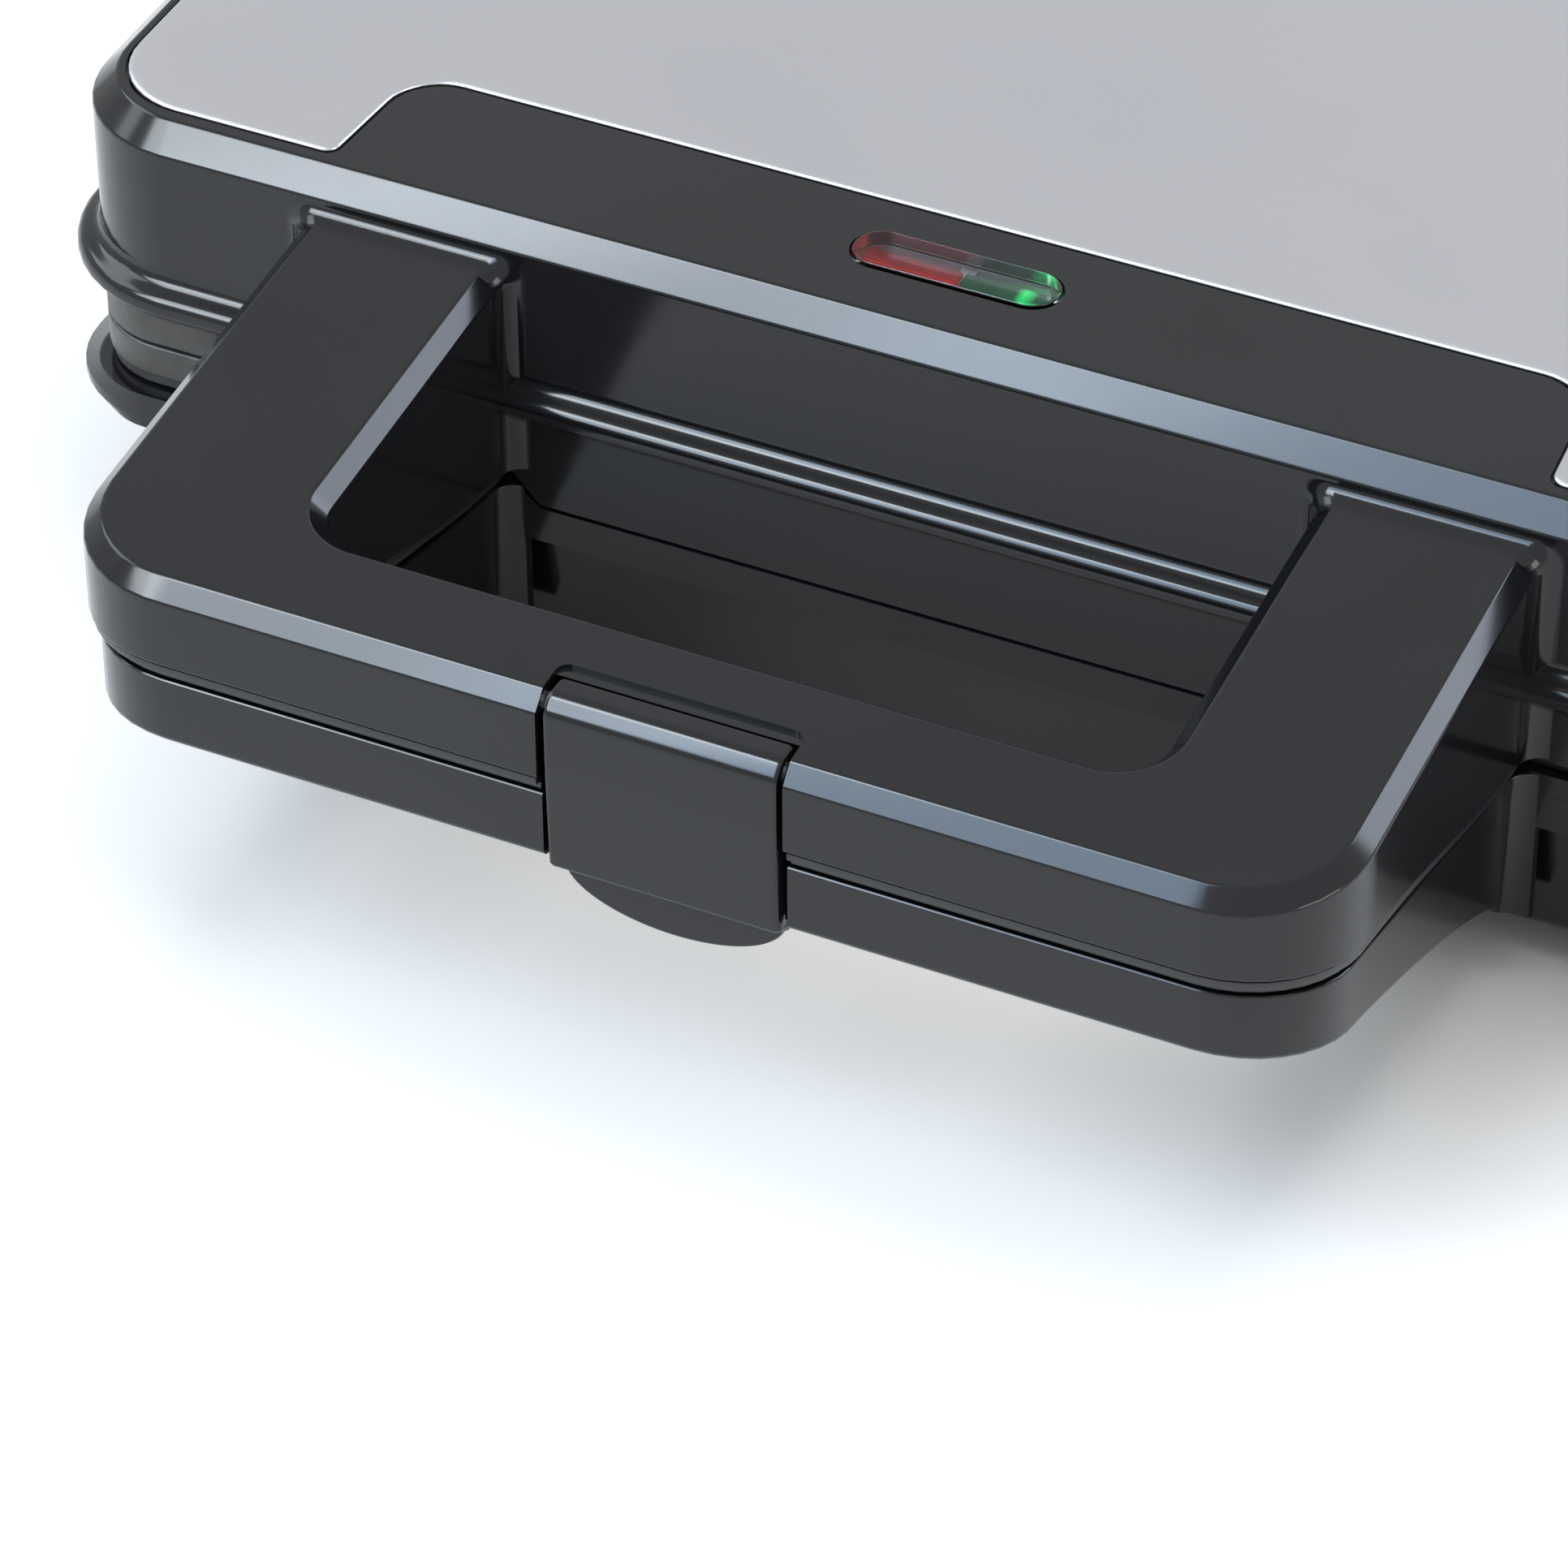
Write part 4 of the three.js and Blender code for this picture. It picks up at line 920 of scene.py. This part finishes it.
def plate_piece(name, node, body, face, direction, rim, boss_end, hole_end):
    """A cooking plate whose cups reach up (+1) or down (-1) from its meeting face."""
    def at(distance):
        return z(face) + direction * distance

    rim_path = rounded([(-6, 0), (0, 0), (0, rim - 1.7), (-0.4, rim - 1.5), (-0.4, rim), (-6, rim)],
                       [0, 0.4, 0.2, 0.1, 0.25, 0], 4)[1:-1]
    levels = [(plate_loop(offset), at(distance)) for offset, distance in rim_path]
    plate = loft(levels)
    cut(plate, loft([(plate_loop(-2.4), at(rim + 1)), (plate_loop(-2.4), at(3.4)),
                     (plate_loop(-3.2), at(3.2))]))
    centres = [(u * RING_PITCH, CENTRE_Y + v * RING_ROW) for u, v in RING_PLACES]
    for cx, cy in centres:
        cup = rounded([(0, at(RING_DEPTH + 2)), (RING_OUTER - 4, at(RING_DEPTH + 2)), (RING_OUTER + 2, at(5)),
                       (RING_OUTER + 2, at(1)), (0, at(1))], [0, 5, 3, 0, 0], 5)
        join(plate, revolve(cup, (cx, cy, 0)))
    for cx, cy in centres:
        middle = (RING_INNER + RING_OUTER) / 2
        bowl = [(middle + 8.7 * math.cos(t), at(2.2 + 9.2 * math.sin(t)))
                for t in (math.radians(9 * i) for i in range(21))]
        lip_out = [(RING_OUTER + 0.2, at(0.55)), (RING_OUTER + 0.75, at(0)), (RING_OUTER + 0.75, at(-1))]
        lip_in = [(RING_INNER - 0.75, at(-1)), (RING_INNER - 0.75, at(0)), (RING_INNER - 0.2, at(0.55))]
        cut(plate, revolve(lip_in + bowl[::-1] + lip_out, (cx, cy, 0), 64))
    for sx, sy, _ in corners():
        cx, cy = sx * SCREW_X, CENTRE_Y + sy * SCREW_Y
        join(plate, post(cx, cy, 5, *sorted((z(boss_end), at(1)))))
        cut(plate, post(cx, cy, SCREW_HOLE, *sorted((z(boss_end) + direction, z(hole_end)))))
    return finished(plate, name, COATED, body, "coated_plate", node)


# -------------------------------------------------------------------------- base pieces
def housing_shell():
    """The housing's outside, with its overhanging rim, and the tool for its inside."""
    wall = rounded([(-14, FLOOR), (-6.4, FLOOR), (-4.9, 64), (-3, RIM_UNDER)], [0, 1.8, 2.5, 0], 5)[1:]
    levels = [(body_loop(offset), z(depth)) for offset, depth in wall]
    flange = rounded([(-2.4, RIM_UNDER), (RIM_OUT, RIM_EDGE + 1.3), (RIM_OUT, RIM_EDGE), (-1, RIM_TOP),
                      (-5, RIM_TOP)], [0, 0.5, 0.45, 1.5, 0], 5)[:-1]
    levels += [(rim_loop(offset), z(depth)) for offset, depth in flange]
    shell = loft(levels)
    inside = loft([(body_loop(-8.5), z(FLOOR - SHELL)), (body_loop(-6.2), z(FLOOR - 6)),
                   (body_loop(-5.4), z(RIM_UNDER)), (body_loop(-5), z(RIM_TOP - 1))])
    return shell, inside


def hinge_ears(side):
    """Two ears on the housing that hold one hinge pin."""
    cy, cz = y(HINGE_Y), z(HINGE_Z)
    ears = []
    for x0 in (side * HINGE_X - KNUCKLE_HALF - GAP - EAR, side * HINGE_X + KNUCKLE_HALF + GAP):
        web = side_prism([
            (cy - KNUCKLE_R, cz), (cy - KNUCKLE_R, z(RIM_TOP + 2)), (y(BODY_DEPTH - 5), z(RIM_TOP + 2)),
            (y(BODY_DEPTH - 5), z(56)), (y(BODY_DEPTH - 3), z(56)), (cy + KNUCKLE_R, z(42)),
            (cy + KNUCKLE_R, cz)], x0, x0 + EAR, 0.5)
        ears.append(join(rod(x0, x0 + EAR, cy, cz, KNUCKLE_R, 0.5), web))
    return ears


def rear_boss():
    rear = y(BODY_DEPTH + REAR_BOSS)
    outline = rounded([
        (y(BODY_DEPTH - 6), z(62.5)), (rear, z(62.5)), (rear, z(36.2)), (y(BODY_DEPTH - 0.6), z(36.2)),
        (y(BODY_DEPTH - 0.6), z(RIM_TOP + 1)), (y(BODY_DEPTH - 6), z(RIM_TOP + 1))],
        [0, 3, 1.6, 0.3, 0, 0], 6, closed=True)
    outside = side_prism(outline, -32, 32, 1.2)
    inside = block(-29.5, y(BODY_DEPTH - 8), z(60), 29.5, rear - SHELL, z(RIM_TOP + 2.5))
    return outside, inside


def upstand(side):
    """Raised part of the housing's front wall, behind an arm."""
    outline = rounded([(side * 48.4, z(RIM_TOP + 1)), (side * 48.4, z(RIM_TOP)), (side * 52.4, z(37.6)),
                       (side * 91.7, z(37.6)), (side * 93.7, z(RIM_TOP)), (side * 93.7, z(RIM_TOP + 1))],
                      [0, 0.8, 1.2, 1, 0.5, 0], 4)
    return front_prism(outline, y(0.02), y(SKIRT_THICK))


def housing_piece():
    shell, inside = housing_shell()
    boss, boss_inside = rear_boss()
    join(shell, boss, upstand(-1), upstand(1))
    cut(shell, inside, boss_inside)
    join(shell, base_handle(), *hinge_ears(-1), *hinge_ears(1))
    for side in (-1, 1):
        join(shell, arm_root(side, lambda d: 37.9, UNDERSIDE, HANDLE_HALF - LOWER_INSET,
                             OPENING_HALF + LOWER_INSET, 0.3, 3.0, 0))
    for sx, sy, _ in corners():
        join(shell, post(sx * SCREW_X, CENTRE_Y + sy * SCREW_Y, 6.2, z(FLOOR - 1), z(58.3)))
    tools = []
    for sx, sy, _ in corners():
        cx, cy = sx * SCREW_X, CENTRE_Y + sy * SCREW_Y
        tools += [post(cx, cy, HEAD_HOLE, z(FLOOR + 1), z(61.5)), post(cx, cy, SCREW_HOLE, z(FLOOR), z(57))]
        tools.append(post(sx * FOOT_X, CENTRE_Y + sy * FOOT_Y, 3.3, z(FLOOR + 1), z(FLOOR - 4)))
    for side in (-1, 1):
        tools.append(post(side * ARM_X, y(ARM_SCREW_Y), SCREW_HOLE, z(60), z(30)))
        tools.append(post(side * ARM_X, y(ARM_SCREW_Y), HEAD_HOLE, z(60), z(40.7)))
        tools.append(rod(side * HINGE_X - 20, side * HINGE_X + 20, y(HINGE_Y), z(HINGE_Z), HINGE_BORE))
    tools.append(block(-NOTCH_HALF, y(-BEYOND), z(BEYOND), NOTCH_HALF, y(-62.9), z(20)))
    tools.append(block(-NOTCH_HALF, y(-BEYOND), z(BEYOND), NOTCH_HALF, y(-57.6), z(34.5)))
    tools.append(revolve([(0, -8), (5.5, -8), (5.5, 8), (0, 8)], (0, y(BODY_DEPTH + REAR_BOSS), z(GLAND_Z)),
                         axis="Y"))
    for row in range(VENTS):
        middle = CENTRE_Y - 25 + row * VENT_PITCH
        slot = [(-22, middle - 1.5), (22, middle - 1.5), (22, middle + 1.5), (-22, middle + 1.5)]
        tools.append(prism(rounded(slot, [1.4] * 4, 5, closed=True), z(FLOOR + 1), z(FLOOR - 4)))
    label = [(-32, CENTRE_Y + 44), (32, CENTRE_Y + 44), (32, CENTRE_Y + 72), (-32, CENTRE_Y + 72)]
    tools.append(prism(rounded(label, [2] * 4, 5, closed=True), z(FLOOR + 1), z(FLOOR - 0.8)))
    cut(shell, *tools)
    return finished(shell, "base_housing_moulding", BLACK, "base", "black_plastic", "lower_housing")


def foot_piece(sx, sy, corner):
    profile = rounded([(0, z(TOP_Z)), (7.2, z(TOP_Z)), (8.6, z(FLOOR + GAP)), (3, z(FLOOR + GAP)),
                       (3, z(FLOOR - 3.4)), (0, z(FLOOR - 3.4))], [0, 1.2, 0.8, 0, 0.8, 0], 5)
    foot = revolve(profile, (sx * FOOT_X, CENTRE_Y + sy * FOOT_Y, 0))
    return finished(foot, f"rubber_foot_{corner}", RUBBER, "base", "foot_rubber", f"foot_{corner}")


def gland_piece():
    profile = rounded([(3.6, -5.5), (5.2, -5.5), (5.2, 0.3), (7.2, 0.3), (7.2, 2.0), (3.6, 2.0)],
                      [0.4, 0.4, 0, 0.3, 0.9, 0.6], 4, closed=True)
    gland = revolve(profile, (0, y(BODY_DEPTH + REAR_BOSS), z(GLAND_Z)), axis="Y")
    return finished(gland, "cord_entry_gland", DARK, "base", "dark_plastic", "cord_gland")


def screw_piece(name, node, body, cx, cy, head_depth, length, direction):
    """A cross-head screw whose head lies at a depth and whose shank goes up or down."""
    head = z(head_depth)
    profile = rounded([(0, head), (3.8, head), (3.8, head + direction * 2), (1.9, head + direction * 2),
                       (1.9, head + direction * (length - 1)), (0.6, head + direction * length),
                       (0, head + direction * length)], [0, 1.2, 0.2, 0.2, 0.3, 0, 0], 4)
    screw = revolve(profile, (cx, cy, 0), 32)
    for turn in (0, 90):
        arm = loft([([(-2.4, -0.45), (2.4, -0.45), (2.4, 0.45), (-2.4, 0.45)], head - direction * 1),
                    ([(-1.6, -0.3), (1.6, -0.3), (1.6, 0.3), (-1.6, 0.3)], head + direction * 1.1)])
        spin = Matrix.Rotation(math.radians(turn), 4, "Z")
        arm.data.transform(Matrix.Translation((cx * MM, cy * MM, 0)) @ spin)
        cut(screw, arm)
    return finished(screw, name, ZINC, body, "zinc_steel", node)


# ----------------------------------------------------------------------------- assembly
cover_piece()
inlay_piece()
window_piece()
lamp_piece(-1, "red_indicator", RED, "lamp_red", "red_lamp")
lamp_piece(1, "green_indicator", GREEN, "lamp_green", "green_lamp")
liner_piece(True)
liner_piece(False)
latch_piece()
plate_piece("upper_cooking_plate", "upper_plate", "lid", UPPER_FACE, 1, 6.6, 11.7, 24)
plate_piece("lower_cooking_plate", "lower_plate", "base", LOWER_FACE, -1, 6.0, 56.9, 44)
housing_piece()
gland_piece()
for sx, sy, corner in corners():
    foot_piece(sx, sy, corner)
    screw_piece(f"base_fixing_{corner}", f"base_screw_{corner}", "base",
                sx * SCREW_X, CENTRE_Y + sy * SCREW_Y, 63.8, 18, 1)
for side, end in ((-1, "left"), (1, "right")):
    screw_piece(f"lower_handle_fixing_{end}", f"lower_handle_screw_{end}", "base",
                side * ARM_X, y(ARM_SCREW_Y), 43, 9.5, 1)

CAD_LOOKS = {
    "lamp_holder": PALE, "terminal_block": PALE, "thermal_fuse": PALE, "rating_plate": SHEET,
    "upper_reflector": SHEET, "lower_reflector": SHEET,
}
for node_name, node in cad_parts.items():
    if not node.hide_render:
        node.data.materials.clear()
        node.data.materials.append(CAD_LOOKS.get(node_name, ZINC))

# ---------------------------------------------------------------- floor, light, camera
floor = bpy.data.objects.new("floor", bpy.data.meshes.new("floor"))
bpy.context.scene.collection.objects.link(floor)
FLOOR_REACH = 6.0
floor.data.from_pydata([(-FLOOR_REACH, -FLOOR_REACH, 0), (FLOOR_REACH, -FLOOR_REACH, 0),
                        (FLOOR_REACH, FLOOR_REACH, 0), (-FLOOR_REACH, FLOOR_REACH, 0)], [], [(0, 1, 2, 3)])
floor.data.materials.append(floor_paint())


def panel(name, azimuth, elevation, distance, width, height, strength, colour=(1, 1, 1)):
    """A soft area light that faces the object. Azimuth 0 is in front, 90 on the right."""
    light = bpy.data.lights.new(name, "AREA")
    light.shape = "RECTANGLE"
    light.size, light.size_y = width, height
    light.energy = strength * width * height * math.pi
    light.color = colour
    made = bpy.data.objects.new(name, light)
    a, e = math.radians(azimuth), math.radians(elevation)
    way = Vector((math.sin(a) * math.cos(e), -math.cos(a) * math.cos(e), math.sin(e)))
    made.location = way * distance + Vector((0, FRONT_WALL_Y * MM, 0.05))
    made.rotation_mode = "QUATERNION"
    made.rotation_quaternion = way.to_track_quat("Z", "Y")
    made.visible_camera = False
    bpy.context.scene.collection.objects.link(made)
    return made


KEY_DISTANCE = 1.5
for name, azimuth, width, strength, colour in (
        ("key_left", -46, 0.40, 11.9, (0.86, 0.94, 1.0)),
        ("key_middle", -33, 0.30, 9.4, (0.78, 0.89, 1.0)),
        ("key_right", -20, 0.36, 7.2, (0.56, 0.76, 1.0))):
    panel(name, azimuth, 46, KEY_DISTANCE, width, 0.85, strength, colour)
panel("rear_strip", 140, 24, 1.6, 0.75, 0.62, 5.8, (0.76, 0.85, 1.0))
panel("left_side", -88, 38, 1.5, 0.9, 0.7, 3.6, (0.86, 0.93, 1.0))
panel("right_fill", 78, 16, 1.6, 0.9, 0.6, 4.0)
panel("right_high", 62, 60, 1.6, 0.8, 0.8, 3.2).visible_glossy = False
panel("overhead", 0, 89, 1.6, 1.3, 1.3, 4.2, (1.0, 0.985, 0.96)).visible_glossy = False

world = bpy.data.worlds.new("studio")
world.use_nodes = True
world.node_tree.nodes["Background"].inputs["Color"].default_value = (0.96, 0.98, 1.0, 1)
world.node_tree.nodes["Background"].inputs["Strength"].default_value = 0.8
bpy.context.scene.world = world
bpy.context.scene.view_settings.view_transform = "Standard"

AZIMUTH, ELEVATION, ROLL = math.radians(25.30), math.radians(39.47), math.radians(-0.24)
DISTANCE = 0.8579
SENSOR, LENS = 36, 169.4
TARGET = Vector((0.0012, y(-35.9) * MM, z(40.05) * MM))
right = Vector((math.cos(AZIMUTH), math.sin(AZIMUTH), 0))
back = Vector((math.sin(AZIMUTH) * math.cos(ELEVATION), -math.cos(AZIMUTH) * math.cos(ELEVATION),
               math.sin(ELEVATION)))
up = back.cross(right)
rolled_right = math.cos(ROLL) * right + math.sin(ROLL) * up
rolled_up = -math.sin(ROLL) * right + math.cos(ROLL) * up
camera = bpy.data.objects.new("camera", bpy.data.cameras.new("camera"))
bpy.context.scene.collection.objects.link(camera)
camera.data.sensor_width = SENSOR
camera.data.lens = LENS
camera.data.clip_start, camera.data.clip_end = 0.05, 50
turn = Matrix((rolled_right, rolled_up, back)).transposed()
camera.matrix_world = Matrix.Translation(TARGET + back * DISTANCE) @ turn.to_4x4()
bpy.context.scene.camera = camera
